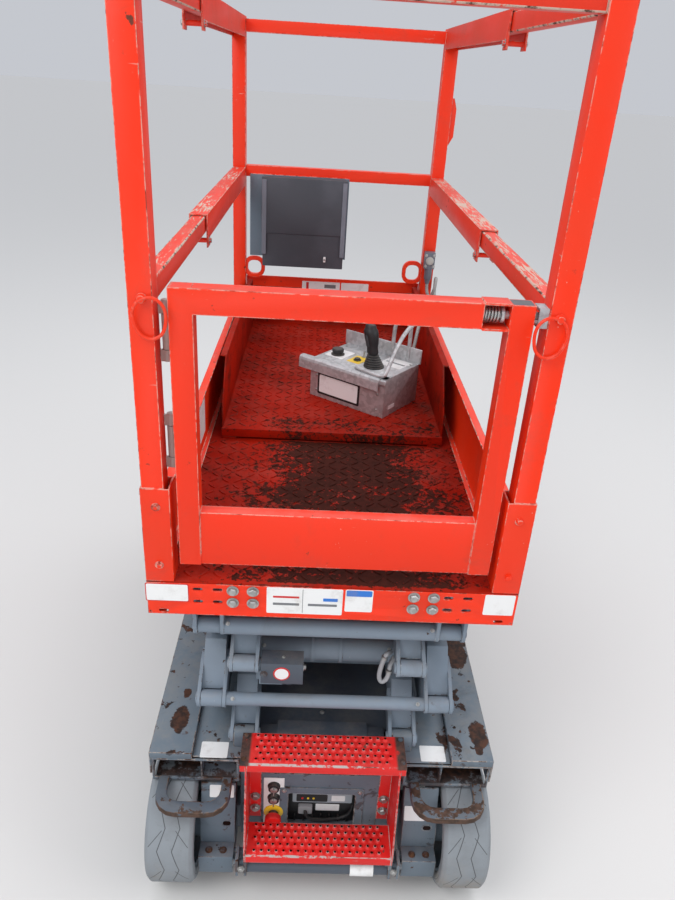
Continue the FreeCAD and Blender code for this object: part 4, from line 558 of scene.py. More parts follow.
def grooved_tyre(name, hand, axle):
    """Tyre rubber with fine zigzag grooves round the tread and a line on the wall; the grooves and the
    line are only bumps, darkened to near-black as painted shade.
    """
    tyre = Finish(name, roughness=0.72)
    x, y, z = tyre.sides()
    ahead = tyre.math("SUBTRACT", y, axle)
    above = tyre.math("SUBTRACT", z, 0.1525)
    turn = tyre.math("ARCTAN2", above, ahead, clamp=False)
    step = tyre.math("MULTIPLY", turn, 9 / (2 * math.pi), clamp=False)
    wave = tyre.math("PINGPONG", step, 0.5, clamp=False)
    swing = tyre.math("MULTIPLY", tyre.math("SUBTRACT", wave, 0.25), 0.034, clamp=False)
    across = tyre.math("SUBTRACT", x, hand * 0.349)

    def line(offset):
        place = tyre.math("SUBTRACT", across, offset)
        away = tyre.math("ABSOLUTE", tyre.math("SUBTRACT", place, swing), clamp=False)
        return tyre.math("SUBTRACT", 1.0, tyre.ramp(away, 0.0006, 0.0013))

    share = tyre.math("FRACT", step, clamp=False)
    slope = tyre.math("MULTIPLY", tyre.math("SUBTRACT", share, 0.36), 0.085, clamp=False)
    away = tyre.math("ABSOLUTE", tyre.math("SUBTRACT", tyre.math("ABSOLUTE", across), slope))
    branch = tyre.math("MULTIPLY", tyre.math("SUBTRACT", 1.0, tyre.ramp(away, 0.0006, 0.0013)),
                       tyre.within(share, 0.55, 0.90, 0.01))
    outwards = tyre.add("ShaderNodeVectorMath", operation="LENGTH")
    flat = tyre.add("ShaderNodeCombineXYZ")
    tyre.feed(flat.inputs["Y"], ahead)
    tyre.feed(flat.inputs["Z"], above)
    tyre.feed(outwards.inputs[0], flat.outputs[0])
    radius = outwards.outputs["Value"]
    grooves = tyre.math("MAXIMUM", branch, tyre.math("MAXIMUM", line(-0.017), line(0.017)))
    grooves = tyre.math("MULTIPLY", grooves, tyre.ramp(radius, 0.1480, 0.1500))
    wall_ring = tyre.within(radius, 0.1335, 0.1350, 0.0006)
    grooves = tyre.math("MAXIMUM", grooves, tyre.math("MULTIPLY", wall_ring, 0.7))
    cloud = tyre.ramp(tyre.noise(9, 7, 0.65), 0.38, 0.72)
    colour = tyre.mix(tyre.math("MULTIPLY", cloud, 0.45), (0.225, 0.248, 0.268, 1),
                      (0.145, 0.150, 0.152, 1))
    mud = tyre.math("MULTIPLY", tyre.ramp(tyre.noise(6, 6, 0.7), 0.48, 0.68), 0.5)
    mud = tyre.math("MULTIPLY", mud, tyre.math("SUBTRACT", 1.0, tyre.ramp(z, 0.05, 0.24)))
    colour = tyre.mix(mud, colour, (0.30, 0.235, 0.165, 1))
    scuffs = tyre.ramp(tyre.noise(70, 6, 0.7), 0.60, 0.72)
    colour = tyre.mix(tyre.math("MULTIPLY", scuffs, 0.3), colour, (0.08, 0.075, 0.07, 1))
    # Painted shade: the grooves and the wall line are darkened to near-black, standing for the shadow
    # inside them.
    colour = tyre.mix(tyre.math("MULTIPLY", grooves, 0.85), colour, (0.035, 0.035, 0.036, 1))
    height = tyre.math("SUBTRACT", tyre.math("MULTIPLY", tyre.noise(220, 5), 0.25), grooves)
    tyre.bump(height, 0.5, 0.0012)
    return tyre.finish(colour, tyre.blend_numbers(scuffs, 0.66, 0.85))


def rusty_steel(name, left_paint):
    steel = Finish(name, roughness=0.8, metallic=0.15)
    patches = steel.ramp(steel.noise(14, 8, 0.7, distortion=0.8), 0.42, 0.58)
    rust = steel.mix(steel.ramp(steel.noise(70, 6), 0.35, 0.7), (0.060, 0.026, 0.014, 1),
                     (0.145, 0.065, 0.032, 1))
    colour = steel.mix(patches, left_paint, rust)
    steel.bump(steel.noise(110, 7, 0.7), 0.45, 0.0012)
    return steel.finish(colour, steel.blend_numbers(patches, 0.5, 0.85))


def smooth_chrome():
    chrome = Finish("rod_chrome", roughness=0.12, metallic=1.0)
    film = chrome.ramp(chrome.noise(9, 5), 0.45, 0.75)
    colour = chrome.mix(chrome.math("MULTIPLY", film, 0.5), (0.72, 0.73, 0.74, 1),
                        (0.35, 0.32, 0.28, 1))
    return chrome.finish(colour, chrome.blend_numbers(film, 0.1, 0.3))


def plain_plate(name, tint, dull=0.4):
    plate = Finish(name, roughness=dull)
    smear = plate.ramp(plate.noise(18, 7, 0.7), 0.5, 0.78)
    colour = plate.mix(plate.math("MULTIPLY", smear, 0.45), tint, (0.28, 0.22, 0.18, 1))
    plate.bump(plate.noise(90, 3), 0.08, 0.0003)
    return plate.finish(colour, plate.blend_numbers(smear, dull, 0.7))


OTHERS = {
    "galvanised": zinc_steel("galvanised", (0.30, 0.31, 0.32, 1), 0.50, 0.35),
    "box_steel": zinc_steel("box_steel", (0.40, 0.405, 0.41, 1), 0.46, 0.45),
    "bolt_steel": zinc_steel("bolt_steel", (0.34, 0.34, 0.33, 1), 0.42),
    "roller_steel": zinc_steel("roller_steel", (0.24, 0.24, 0.23, 1), 0.45),
    "hinge_grey": moulded("hinge_grey", (0.40, 0.39, 0.36, 1), 0.45, 300),
    "black_plastic": moulded("black_plastic", (0.012, 0.012, 0.013, 1), 0.48),
    "box_plastic": moulded("box_plastic", (0.058, 0.062, 0.074, 1), 0.55, 500, index=1.35),
    "battery_plastic": moulded("battery_plastic", (0.030, 0.030, 0.033, 1), 0.5),
    "cable_grey": moulded("cable_grey", (0.27, 0.265, 0.255, 1), 0.45, 900, 0.1),
    "plug_grey": moulded("plug_grey", (0.135, 0.145, 0.175, 1), 0.45, 600, 0.1),
    "hose_grey": moulded("hose_grey", (0.30, 0.30, 0.31, 1), 0.42, 900, 0.1),
    "tyre_rear_left": grooved_tyre("tyre_rear_left", -1, -0.7375),
    "tyre_rear_right": grooved_tyre("tyre_rear_right", 1, -0.7375),
    "tyre_front_left": grooved_tyre("tyre_front_left", -1, 0.5825),
    "tyre_front_right": grooved_tyre("tyre_front_right", 1, 0.5825),
    # Near-black, dull, with little shine and no dust: painted shade for the dark inside open holes and
    # the gaps between hinge barrels.
    "shade_black": moulded("shade_black", (0.012, 0.005, 0.004, 1), 0.95, 300, 0.0, 1.15),
    "rubber_black": dusty_rubber("rubber_black", (0.02, 0.02, 0.02, 1), (0.06, 0.055, 0.05, 1)),
    "rust": rusty_steel("rust", (0.075, 0.095, 0.115, 1)),
    "rod_chrome": smooth_chrome(),
    "plate_white": plain_plate("plate_white", (0.76, 0.76, 0.75, 1)),
    "plate_blue": plain_plate("plate_blue", (0.02, 0.16, 0.55, 1)),
    "plate_red": plain_plate("plate_red", (0.55, 0.02, 0.02, 1)),
    "plate_line": plain_plate("plate_line", (0.16, 0.17, 0.18, 1)),
    "plate_steel": plain_plate("plate_steel", (0.30, 0.33, 0.36, 1), 0.35),
    "stop_red": moulded("stop_red", (0.60, 0.012, 0.010, 1), 0.3, 500, 0.1),
    "stop_yellow": moulded("stop_yellow", (0.75, 0.50, 0.02, 1), 0.35, 500, 0.1),
}
MATERIALS = {**PAINTS, **OTHERS}
print("materials", len(MATERIALS))

# %% [markdown]
# Sheet and tube have small rounded edges that catch the light, and the plain solids do not. Each CAD
# node is copied, its loose triangles are welded and merged into flat faces, and a narrow bevel rounds
# every sharp edge. The bevel gets the paint's rubbed twin. The copy then stands for the node and keeps
# its place.

# %% Rounded copies of the CAD nodes


def link_mesh(name, mesh, body, material):
    """Puts a finished mesh into the scene on its body, with its finish."""
    thing = bpy.data.objects.new(name, mesh)
    bpy.context.scene.collection.objects.link(thing)
    if material:
        mesh.materials.clear()
        mesh.materials.append(MATERIALS[material])
    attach(thing, body)
    return thing


def settled(thing):
    """The evaluated mesh of an object, with its modifiers in it; the object goes."""
    graph = bpy.context.evaluated_depsgraph_get()
    mesh = bpy.data.meshes.new_from_object(thing.evaluated_get(graph), depsgraph=graph)
    bpy.data.objects.remove(thing)
    return mesh


SPILL = 5e-4  # square metres


def spilt(mesh):
    """Whether a face's triangles cover far more than the face, as can happen round a hole."""
    mesh.calc_loop_triangles()
    covered = [0.0] * len(mesh.polygons)
    for corner in mesh.loop_triangles:
        covered[corner.polygon_index] += corner.area
    return any(area > face.area + SPILL for area, face in zip(covered, mesh.polygons))


def bevelled(node, width, material, merge):
    """A welded copy of a CAD node with its edges rounded; merge joins its triangles to faces."""
    shell = bmesh.new()
    shell.from_mesh(frame["nodes"][node].data)
    bmesh.ops.remove_doubles(shell, verts=shell.verts, dist=1e-6)
    if merge:
        bmesh.ops.dissolve_limit(shell, angle_limit=math.radians(1.0), verts=shell.verts,
                                 edges=shell.edges)
    mesh = bpy.data.meshes.new(node + "_skin")
    shell.to_mesh(mesh)
    shell.free()
    mesh.materials.append(MATERIALS[material])
    rough = bpy.data.objects.new(node + "_rough", mesh)
    bpy.context.scene.collection.objects.link(rough)
    bevel = rough.modifiers.new("bevel", "BEVEL")
    if material in PAINTS:
        mesh.materials.append(MATERIALS[material + "_edge"])
        bevel.material = 1
    bevel.width = width
    bevel.segments = 2
    bevel.limit_method = "ANGLE"
    bevel.angle_limit = math.radians(38)
    bevel.harden_normals = False
    bpy.context.view_layer.update()
    return settled(rough)


def rounded(node, width, material):
    """The piece that stands for a CAD node: the same shape with its edges rounded, in metres."""
    mesh = bevelled(node, width, material, merge=True)
    if spilt(mesh):
        mesh = bevelled(node, width, material, merge=False)
        print("kept its triangles:", node)
    for face in mesh.polygons:
        face.use_smooth = True
    mesh.set_sharp_from_angle(angle=math.radians(35))
    piece = link_mesh(node + "_skin", mesh, BODY_OF[node], None)
    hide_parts(node)
    return piece


SKINS = [
    # finish, edge radius in metres, nodes
    ("guard_red", 0.0032, ["rear_post_left", "rear_post_right", "gate", "front_guard"]),
    ("rail_red", 0.0032, ["fixed_rails"]),
    ("rail_red", 0.0020, ["sliding_rails"]),
    ("guard_red", 0.0014, ["toe_walls", "platform_frame"]),
    ("deck_red", 0.0012, ["main_deck", "roll_deck", "roll_walls"]),
    ("ladder_red", 0.0014, ["ladder"]),
    ("arm_grey", 0.0030, ["arms_1_inner", "arms_1_outer", "arms_2_outer", "arms_2_inner",
                          "arms_3_inner", "arms_3_outer", "deck_hinge"]),
    ("chassis_grey", 0.0016, ["chassis_frame", "nose_frame", "side_decks", "fork_pockets",
                              "roller_tracks", "arm_brackets", "front_axle", "knuckle_left",
                              "knuckle_right",
                              "tie_rod", "rear_axle", "rear_covers", "rear_brackets",
                              "tray_left", "tray_right", "tray_hangers", "pothole_guards"]),
    ("loop_grey", 0.0028, ["tie_loops"]),
    ("dark_cover", 0.0012, ["belly_cover"]),
    ("cylinder_black", 0.0018, ["lift_cylinder"]),
    ("rod_chrome", 0.0010, ["lift_rod"]),
    ("roller_steel", 0.0016, ["rollers_lower", "rollers_upper"]),
    ("box_plastic", 0.0060, ["document_box"]),
    ("chassis_grey", 0.0010, ["control_panel"]),
    ("box_steel", 0.0016, ["control_box", "gate_latch"]),
    ("black_plastic", 0.0030, ["charger", "ground_controls"]),
    ("plug_grey", 0.0040, ["cable_plug"]),
    ("battery_plastic", 0.0040, ["batteries_left", "hydraulic_unit_right"]),
    ("rim_grey", 0.0020, ["rim_rear_left", "rim_rear_right", "rim_front_left",
                          "rim_front_right"]),
    ("tyre_rear_left", 0.0020, ["tyre_rear_left"]),
    ("tyre_rear_right", 0.0020, ["tyre_rear_right"]),
    ("tyre_front_left", 0.0020, ["tyre_front_left"]),
    ("tyre_front_right", 0.0020, ["tyre_front_right"]),
]
skins = {}
for finish_name, radius, members in SKINS:
    for node in members:
        skins[node] = rounded(node, radius, finish_name)
print("skins", len(skins), "faces", sum(len(piece.data.polygons) for piece in skins.values()))

# %% [markdown]
# Bolts, treads, dimples and spring coils repeat by a rule, so Geometry Nodes make them. Each tree has
# named sizes, and ends by turning its copies into real faces with a finish. `Recipe` keeps a tree
# short, and `grown` runs it once and keeps only the plain mesh.

# %% A short way to write geometry trees


class Recipe:
    """A Geometry Nodes tree with named sizes."""

    def __init__(self, name, sizes):
        self.tree = bpy.data.node_groups.new(name, "GeometryNodeTree")
        sockets = self.tree.interface
        sockets.new_socket("Geometry", in_out="INPUT", socket_type="NodeSocketGeometry")
        sockets.new_socket("Geometry", in_out="OUTPUT", socket_type="NodeSocketGeometry")
        for label, kind in {**sizes, "Finish": "Material"}.items():
            sockets.new_socket(label, in_out="INPUT", socket_type="NodeSocket" + kind)
        self.start = self.tree.nodes.new("NodeGroupInput").outputs
        self.end = self.tree.nodes.new("NodeGroupOutput").inputs

    def add(self, kind, feeds, **settings):
        """Adds a node, feeds its inputs with sockets or values, and gives its outputs."""
        node = self.tree.nodes.new(kind)
        for name, value in settings.items():
            setattr(node, name, value)
        for key, value in feeds.items():
            if isinstance(value, bpy.types.NodeSocket):
                self.tree.links.new(value, node.inputs[key])
            else:
                node.inputs[key].default_value = value
        return node.outputs

    def math(self, operation, first, second=0.0):
        return self.add("ShaderNodeMath", {0: first, 1: second}, operation=operation)[0]

    def vector(self, x=0.0, y=0.0, z=0.0):
        return self.add("ShaderNodeCombineXYZ", {"X": x, "Y": y, "Z": z})[0]

    def moved(self, geometry, offset):
        return self.add("GeometryNodeTransform", {"Geometry": geometry, "Translation": offset})[0]

    def joined(self, *parts):
        node = self.tree.nodes.new("GeometryNodeJoinGeometry")
        for part in parts:
            self.tree.links.new(part, node.inputs[0])
        return node.outputs[0]

    def painted(self, geometry, finish):
        return self.add("GeometryNodeSetMaterial", {"Geometry": geometry, "Material": finish})[0]

    def close(self, geometry, finish="Finish"):
        solid = self.add("GeometryNodeRealizeInstances", {"Geometry": geometry})[0]
        if finish:
            solid = self.painted(solid, self.start[finish])
        self.tree.links.new(solid, self.end["Geometry"])
        return self.tree


def grown(name, tree, seeds, body, sizes):
    """Runs a recipe on a mesh of seed points and links the result as a plain piece."""
    host = bpy.data.objects.new(name + "_seeds", seeds)
    bpy.context.scene.collection.objects.link(host)
    modifier = host.modifiers.new("recipe", "NODES")
    modifier.node_group = tree
    for item in tree.interface.items_tree:
        if item.in_out == "INPUT" and item.name in sizes:
            modifier[item.identifier] = sizes[item.name]
    mesh = settled(host)
    mesh.name = name
    return link_mesh(name, mesh, body, None)


def spots(name, places):
    """Seed points that each carry the way their piece faces."""
    mesh = bpy.data.meshes.new(name)
    mesh.from_pydata([place for place, way in places], [], [])
    facing = mesh.attributes.new("facing", "FLOAT_VECTOR", "POINT")
    for item, (place, way) in zip(facing.data, places):
        item.vector = way
    return mesh


print("recipes ready")

# %% [markdown]
# A bolt head is a six-sided block with a chamfered top on a round washer. No two spanners stop at the
# same angle, so each head gets its own turn from a seeded random value. Screws and grease nipples are
# the same recipe with more sides and other sizes.

# %% Bolts, screws and grease nipples


def bolt_recipe():
    recipe = Recipe("bolt", {"Head Radius": "Float", "Head Height": "Float",
                             "Washer Radius": "Float", "Washer Height": "Float",
                             "Sides": "Int", "Seed": "Int"})
    start = recipe.start
    thick = start["Washer Height"]
    tall = recipe.math("MULTIPLY", start["Head Height"], 0.7)
    crown = recipe.math("MULTIPLY", start["Head Height"], 0.3)
    washer = recipe.add("GeometryNodeMeshCylinder", {
        "Vertices": 18, "Radius": start["Washer Radius"], "Depth": thick})[0]
    washer = recipe.moved(washer, recipe.vector(z=recipe.math("MULTIPLY", thick, 0.5)))
    shank = recipe.add("GeometryNodeMeshCylinder", {
        "Vertices": start["Sides"], "Radius": start["Head Radius"], "Depth": tall})[0]
    middle = recipe.math("ADD", thick, recipe.math("MULTIPLY", tall, 0.5))
    shank = recipe.moved(shank, recipe.vector(z=middle))
    top = recipe.add("GeometryNodeMeshCone", {
        "Vertices": start["Sides"], "Radius Bottom": start["Head Radius"], "Depth": crown,
        "Radius Top": recipe.math("MULTIPLY", start["Head Radius"], 0.78)})[0]
    top = recipe.moved(top, recipe.vector(z=recipe.math("ADD", thick, tall)))
    whole = recipe.joined(washer, shank, top)
    facing = recipe.add("GeometryNodeInputNamedAttribute", {"Name": "facing"},
                        data_type="FLOAT_VECTOR")[0]
    aimed = recipe.add("FunctionNodeAlignRotationToVector", {"Vector": facing}, axis="Z")[0]
    chance = recipe.add("FunctionNodeRandomValue", {
        2: 0.0, 3: math.pi / 3, "Seed": start["Seed"]}, data_type="FLOAT")[1]
    spin = recipe.add("FunctionNodeAxisAngleToRotation", {
        "Axis": (0, 0, 1), "Angle": chance})[0]
    turned = recipe.add("FunctionNodeRotateRotation", {"Rotation": aimed, "Rotate By": spin},
                        rotation_space="LOCAL")[0]
    placed = recipe.add("GeometryNodeInstanceOnPoints", {
        "Points": start["Geometry"], "Instance": whole, "Rotation": turned})[0]
    return recipe.close(placed)


BOLT_TREE = bolt_recipe()
BOLT_SIZES = {
    # head radius, head height, washer radius, washer height in mm, sides
    "large": (9.5, 6.5, 12.5, 2.2, 6),
    "medium": (6.6, 4.6, 8.8, 1.6, 6),
    "small": (4.4, 3.2, 6.0, 1.0, 6),
    "screw": (3.4, 2.0, 4.2, 0.5, 14),
    "nipple": (2.6, 7.0, 4.6, 2.4, 12),
    "rivet": (3.6, 1.6, 4.0, 0.4, 12),
}
REAR, FORE, UP, DOWN = (0, -1, 0), (0, 1, 0), (0, 0, 1), (0, 0, -1)
LEFT, RIGHT = (-1, 0, 0), (1, 0, 0)


def millimetres(*numbers):
    return tuple(number / 1000 for number in numbers)


def fasten(name, body, size, way, places, finish="bolt_steel", seed=1):
    """A row of fasteners of one size that all face one way; places are in millimetres."""
    head, tall, washer, thick, sides = BOLT_SIZES[size]
    seeds = spots(name, [(millimetres(*place), way) for place in places])
    return grown(name, BOLT_TREE, seeds, body, {
        "Head Radius": head / 1000, "Head Height": tall / 1000, "Washer Radius": washer / 1000,
        "Washer Height": thick / 1000, "Sides": sides, "Seed": seed,
        "Finish": MATERIALS[finish]})


def mirrored(places):
    """The same places on the left as on the right."""
    return list(places) + [(-x, y, z) for x, y, z in places]


panel_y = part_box("control_panel")[0][1] * 1000
FASTENERS = [
    # name, body, size, way, places in millimetres, finish
    ("sill_bolts", "platform", "large", REAR,
     mirrored([(165, -770, 877), (206, -770, 877), (165, -770, 847), (206, -770, 847)]),
     "bolt_steel"),
    ("ladder_bolts", "chassis", "large", REAR,
     mirrored([(158, panel_y - 1, 235), (158, panel_y - 1, 193)]), "bolt_steel"),
    ("bracket_bolts", "chassis", "medium", UP, mirrored([(228, -834, 147), (262, -834, 147)]),
     "rust"),
    ("clevis_bolts", "chassis", "medium", REAR, mirrored([(182, -868, 130)]), "bolt_steel"),
    ("step_bolts", "chassis", "small", UP,
     mirrored([(180, -752, 445), (180, -818, 445)]), "rust"),
    ("shelf_bolts", "chassis", "small", UP,
     [(-2, -620, 385), (-150, -735, 385), (150, -735, 385)], "bolt_steel"),
    ("nose_bolts", "chassis", "medium", FORE,
     mirrored([(60, 800, 300), (100, 800, 300), (60, 800, 180), (100, 800, 180)]),
     "bolt_steel"),
    ("post_bolts_right", "platform", "medium", REAR, [(351, -770, 1070), (351, -770, 935)],
     "guard_red"),
    ("post_bolts_left", "platform", "medium", REAR, [(-351, -770, 1070), (-351, -770, 935)],
     "guard_red"),
    ("socket_bolts_right", "platform", "medium", RIGHT, [(380, -745, 1085)], "bolt_steel"),
    ("socket_bolts_left", "platform", "medium", LEFT, [(-380, -745, 1085)], "bolt_steel"),
    ("guard_bolts_right", "roll_deck", "medium", RIGHT,
     [(380, 867, 960), (380, 867, 1040)], "bolt_steel"),
    ("guard_bolts_left", "roll_deck", "medium", LEFT,
     [(-380, 867, 960), (-380, 867, 1040)], "bolt_steel"),
    ("lip_bolts", "roll_deck", "medium", FORE,
     mirrored([(120, 888, 960), (280, 888, 960), (120, 888, 1030), (280, 888, 1030)]),
     "bolt_steel"),
]
for name, body, size, way, places, finish in FASTENERS:
    fasten(name, body, size, way, places, finish)
print("fastener groups", len(FASTENERS))

# %% [markdown]
# The walking surfaces are tread plate: short raised bars, each turned a right angle from its
# neighbours. A grid of points carries one bar with few faces, and the turn follows from whether the
# point's column and row add up to an odd number. Where the roll-out deck's runners slide, the main
# deck has no bars, so that strip stays bare.

# %% Tread bars on the decks


def tread_recipe():
    recipe = Recipe("tread", {"Columns": "Int", "Rows": "Int", "Pitch": "Float",
                              "Bar Length": "Float", "Bar Width": "Float",
                              "Bar Height": "Float", "Centre": "Vector"})
    start = recipe.start
    across = recipe.math("MULTIPLY", recipe.math("SUBTRACT", start["Columns"], 1), start["Pitch"])
    along = recipe.math("MULTIPLY", recipe.math("SUBTRACT", start["Rows"], 1), start["Pitch"])
    grid = recipe.add("GeometryNodeMeshGrid", {
        "Size X": across, "Size Y": along, "Vertices X": start["Columns"],
        "Vertices Y": start["Rows"]})[0]
    grid = recipe.moved(grid, start["Centre"])
    index = recipe.add("GeometryNodeInputIndex", {})[0]
    column = recipe.math("FLOOR", recipe.math("DIVIDE", index, start["Rows"]))
    row = recipe.math("MODULO", index, start["Rows"])
    odd = recipe.math("MODULO", recipe.math("ADD", column, row), 2)
    turn = recipe.math("ADD", recipe.math("MULTIPLY", odd, math.pi / 2), math.pi / 4)
    bar = recipe.add("GeometryNodeMeshCone", {
        "Vertices": 12, "Radius Bottom": 0.5, "Radius Top": 0.36, "Depth": 1.0})[0]
    size = recipe.vector(start["Bar Length"], start["Bar Width"], start["Bar Height"])
    bar = recipe.add("GeometryNodeTransform", {"Geometry": bar, "Scale": size})[0]
    placed = recipe.add("GeometryNodeInstanceOnPoints", {
        "Points": grid, "Instance": bar, "Rotation": recipe.vector(z=turn)})[0]
    return recipe.close(placed)


TREAD_TREE = tread_recipe()
PITCH = 0.030
deck_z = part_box("main_deck")[1][2]
roll_z = 0.925
TREADS = [
    # name, body, columns, rows, middle of the grid
    ("tread_rear", "platform", 23, 21, (0, -0.4435, deck_z)),
    ("tread_under", "platform", 16, 31, (0, 0.3625, deck_z)),
    ("tread_roll_deck", "roll_deck", 20, 31, (0, 0.366, roll_z)),
]
for name, body, columns, rows, centre in TREADS:
    piece = grown(name, TREAD_TREE, bpy.data.meshes.new(name + "_none"), body, {
        "Columns": columns, "Rows": rows, "Pitch": PITCH, "Bar Length": 0.030,
        "Bar Width": 0.0078, "Bar Height": 0.0024, "Centre": centre,
        "Finish": MATERIALS["deck_red"]})
    print(name, "bars", columns * rows, "faces", len(piece.data.polygons))

# %% [markdown]
# The ladder's steps are pressed with rows of raised holes that grip a boot. Each is a short cone with a
# dish in its top painted near-black, as painted shade for the dark seen down the open hole, and every
# other row is shifted by half a pitch. The dish is turned inside out so that its faces look up.

# %% Grip dimples on the steps


def dimple_recipe():
    recipe = Recipe("dimple", {"Columns": "Int", "Rows": "Int", "Pitch": "Float",
                               "Row Pitch": "Float", "Radius": "Float", "Height": "Float",
                               "Centre": "Vector", "Hole Shade Finish": "Material"})
    start = recipe.start
    across = recipe.math("MULTIPLY", recipe.math("SUBTRACT", start["Columns"], 1), start["Pitch"])
    along = recipe.math("MULTIPLY", recipe.math("SUBTRACT", start["Rows"], 1),
                        start["Row Pitch"])
    grid = recipe.add("GeometryNodeMeshGrid", {
        "Size X": across, "Size Y": along, "Vertices X": start["Columns"],
        "Vertices Y": start["Rows"]})[0]
    index = recipe.add("GeometryNodeInputIndex", {})[0]
    odd_row = recipe.math("MODULO", recipe.math("MODULO", index, start["Rows"]), 2)
    shift = recipe.math("MULTIPLY", recipe.math("SUBTRACT", odd_row, 0.5),
                        recipe.math("MULTIPLY", start["Pitch"], 0.5))
    grid = recipe.add("GeometryNodeSetPosition", {
        "Geometry": grid, "Offset": recipe.vector(x=shift)})[0]
    grid = recipe.moved(grid, start["Centre"])
    lip = recipe.math("MULTIPLY", start["Radius"], 0.38)
    dish = recipe.math("MULTIPLY", start["Radius"], 0.24)
    wall = recipe.add("GeometryNodeMeshCone", {
        "Vertices": 12, "Radius Bottom": start["Radius"], "Radius Top": lip,
        "Depth": start["Height"]}, fill_type="NONE")[0]
    depth = recipe.math("MULTIPLY", start["Height"], 0.7)
    bowl = recipe.add("GeometryNodeMeshCone", {
        "Vertices": 12, "Radius Bottom": dish, "Radius Top": lip, "Depth": depth},
        fill_type="NONE")[0]
    bowl = recipe.add("GeometryNodeFlipFaces", {"Mesh": bowl})[0]
    base = recipe.math("MULTIPLY", start["Height"], 0.3)
    bowl = recipe.moved(bowl, recipe.vector(z=base))
    floor = recipe.add("GeometryNodeMeshCircle", {"Vertices": 12, "Radius": dish},
                       fill_type="NGON")[0]
    floor = recipe.moved(floor, recipe.vector(z=base))
    # The dish and its floor are painted shade: near-black for the dark seen down the open hole.
    hole = recipe.painted(recipe.joined(bowl, floor), start["Hole Shade Finish"])
    whole = recipe.joined(recipe.painted(wall, start["Finish"]), hole)
    placed = recipe.add("GeometryNodeInstanceOnPoints", {"Points": grid, "Instance": whole})[0]
    return recipe.close(placed, finish=None)


DIMPLE_TREE = dimple_recipe()
DIMPLES = [
    # name, middle of the rows in metres
    ("dimples_upper", (0, -0.7870, 0.445)),
    ("dimples_lower", (0, -0.8270, 0.185)),
]
for name, centre in DIMPLES:
    piece = grown(name, DIMPLE_TREE, bpy.data.meshes.new(name + "_none"), "chassis", {
        "Columns": 18, "Rows": 5, "Pitch": 0.0174, "Row Pitch": 0.0166, "Radius": 0.0074,
        "Height": 0.0042, "Centre": centre, "Finish": MATERIALS["ladder_red"],
        "Hole Shade Finish": MATERIALS["shade_black"]})
    print(name, "faces", len(piece.data.polygons))

# %% [markdown]
# The gate's latch is a sprung bolt in an open housing. The coil is a spiral curve with a round
# section swept along it, laid on the bolt's axis between the nut and the collar.

# %% Latch spring


def spring_recipe():
    recipe = Recipe("spring", {"Turns": "Float", "Coil Radius": "Float", "Wire Radius": "Float",
                               "Length": "Float", "Start": "Vector"})
    start = recipe.start
    spiral = recipe.add("GeometryNodeCurveSpiral", {
        "Resolution": 20, "Rotations": start["Turns"], "Start Radius": start["Coil Radius"],
        "End Radius": start["Coil Radius"], "Height": start["Length"]})[0]
    section = recipe.add("GeometryNodeCurvePrimitiveCircle", {
        "Resolution": 8, "Radius": start["Wire Radius"]})[0]
    wire = recipe.add("GeometryNodeCurveToMesh", {
        "Curve": spiral, "Profile Curve": section, "Fill Caps": True})[0]
    laid = recipe.add("GeometryNodeTransform", {
        "Geometry": wire, "Translation": start["Start"], "Rotation": (0, math.pi / 2, 0)})[0]
    return recipe.close(laid)


spring = grown("latch_spring", spring_recipe(), bpy.data.meshes.new("spring_none"), "gate", {
    "Turns": 4.5, "Coil Radius": 0.0122, "Wire Radius": 0.0020, "Length": 0.025,
    "Start": (0.226, -0.746, 1.4725), "Finish": MATERIALS["bolt_steel"]})
print("spring faces", len(spring.data.polygons))

# %% [markdown]
# Turned and lofted pieces come from rings of points with a skin between neighbours and a cap at each
# end. A flat plate is the same skin on two equal outlines. One helper makes both, merges nothing it
# doesn't have to, and recalculates the outward side once.

# %% Skins through rings of points


def skin_mesh(name, rings, smooth=True):
    """A closed skin through rings with the same number of points, in metres."""
    shell = bmesh.new()
    rows = [[shell.verts.new(spot) for spot in ring] for ring in rings]
    count = len(rings[0])
    for low, high in zip(rows, rows[1:]):
        for index in range(count):
            after = (index + 1) % count
            shell.faces.new((low[index], low[after], high[after], high[index]))
    shell.faces.new(rows[0][::-1])
    shell.faces.new(rows[-1])
    bmesh.ops.recalc_face_normals(shell, faces=shell.faces)
    mesh = bpy.data.meshes.new(name)
    shell.to_mesh(mesh)
    shell.free()
    for face in mesh.polygons:
        face.use_smooth = smooth
    if smooth:
        mesh.set_sharp_from_angle(angle=math.radians(38))
    return mesh


def joined_mesh(name, meshes):
    """Several meshes with their finishes in one."""
    whole = bmesh.new()
    finishes = []
    for mesh in meshes:
        finish = mesh.materials[0]
        if finish not in finishes:
            finishes.append(finish)
        before = len(whole.faces)
        whole.from_mesh(mesh)
        whole.faces.ensure_lookup_table()
        for face in whole.faces[before:]:
            face.material_index = finishes.index(finish)
    mesh = bpy.data.meshes.new(name)
    whole.to_mesh(mesh)
    whole.free()
    for finish in finishes:
        mesh.materials.append(finish)
    return mesh


def painted_mesh(mesh, finish):
    mesh.materials.clear()
    mesh.materials.append(MATERIALS[finish])
    return mesh


def turned(name, start, axis, profile, sides=28):
    """A lathe piece: profile is (distance along the axis, radius) in millimetres."""
    axis = Vector(axis).normalized()
    side = axis.orthogonal().normalized()
    up = axis.cross(side)
    start = Vector(start) / 1000
    rings = []
    for along, radius in profile:
        ring = []
        for step in range(sides):
            turn = 2 * math.pi * step / sides
            way = side * math.cos(turn) + up * math.sin(turn)
            ring.append(start + axis * along / 1000 + way * radius / 1000)
        rings.append(ring)
    return skin_mesh(name, rings)


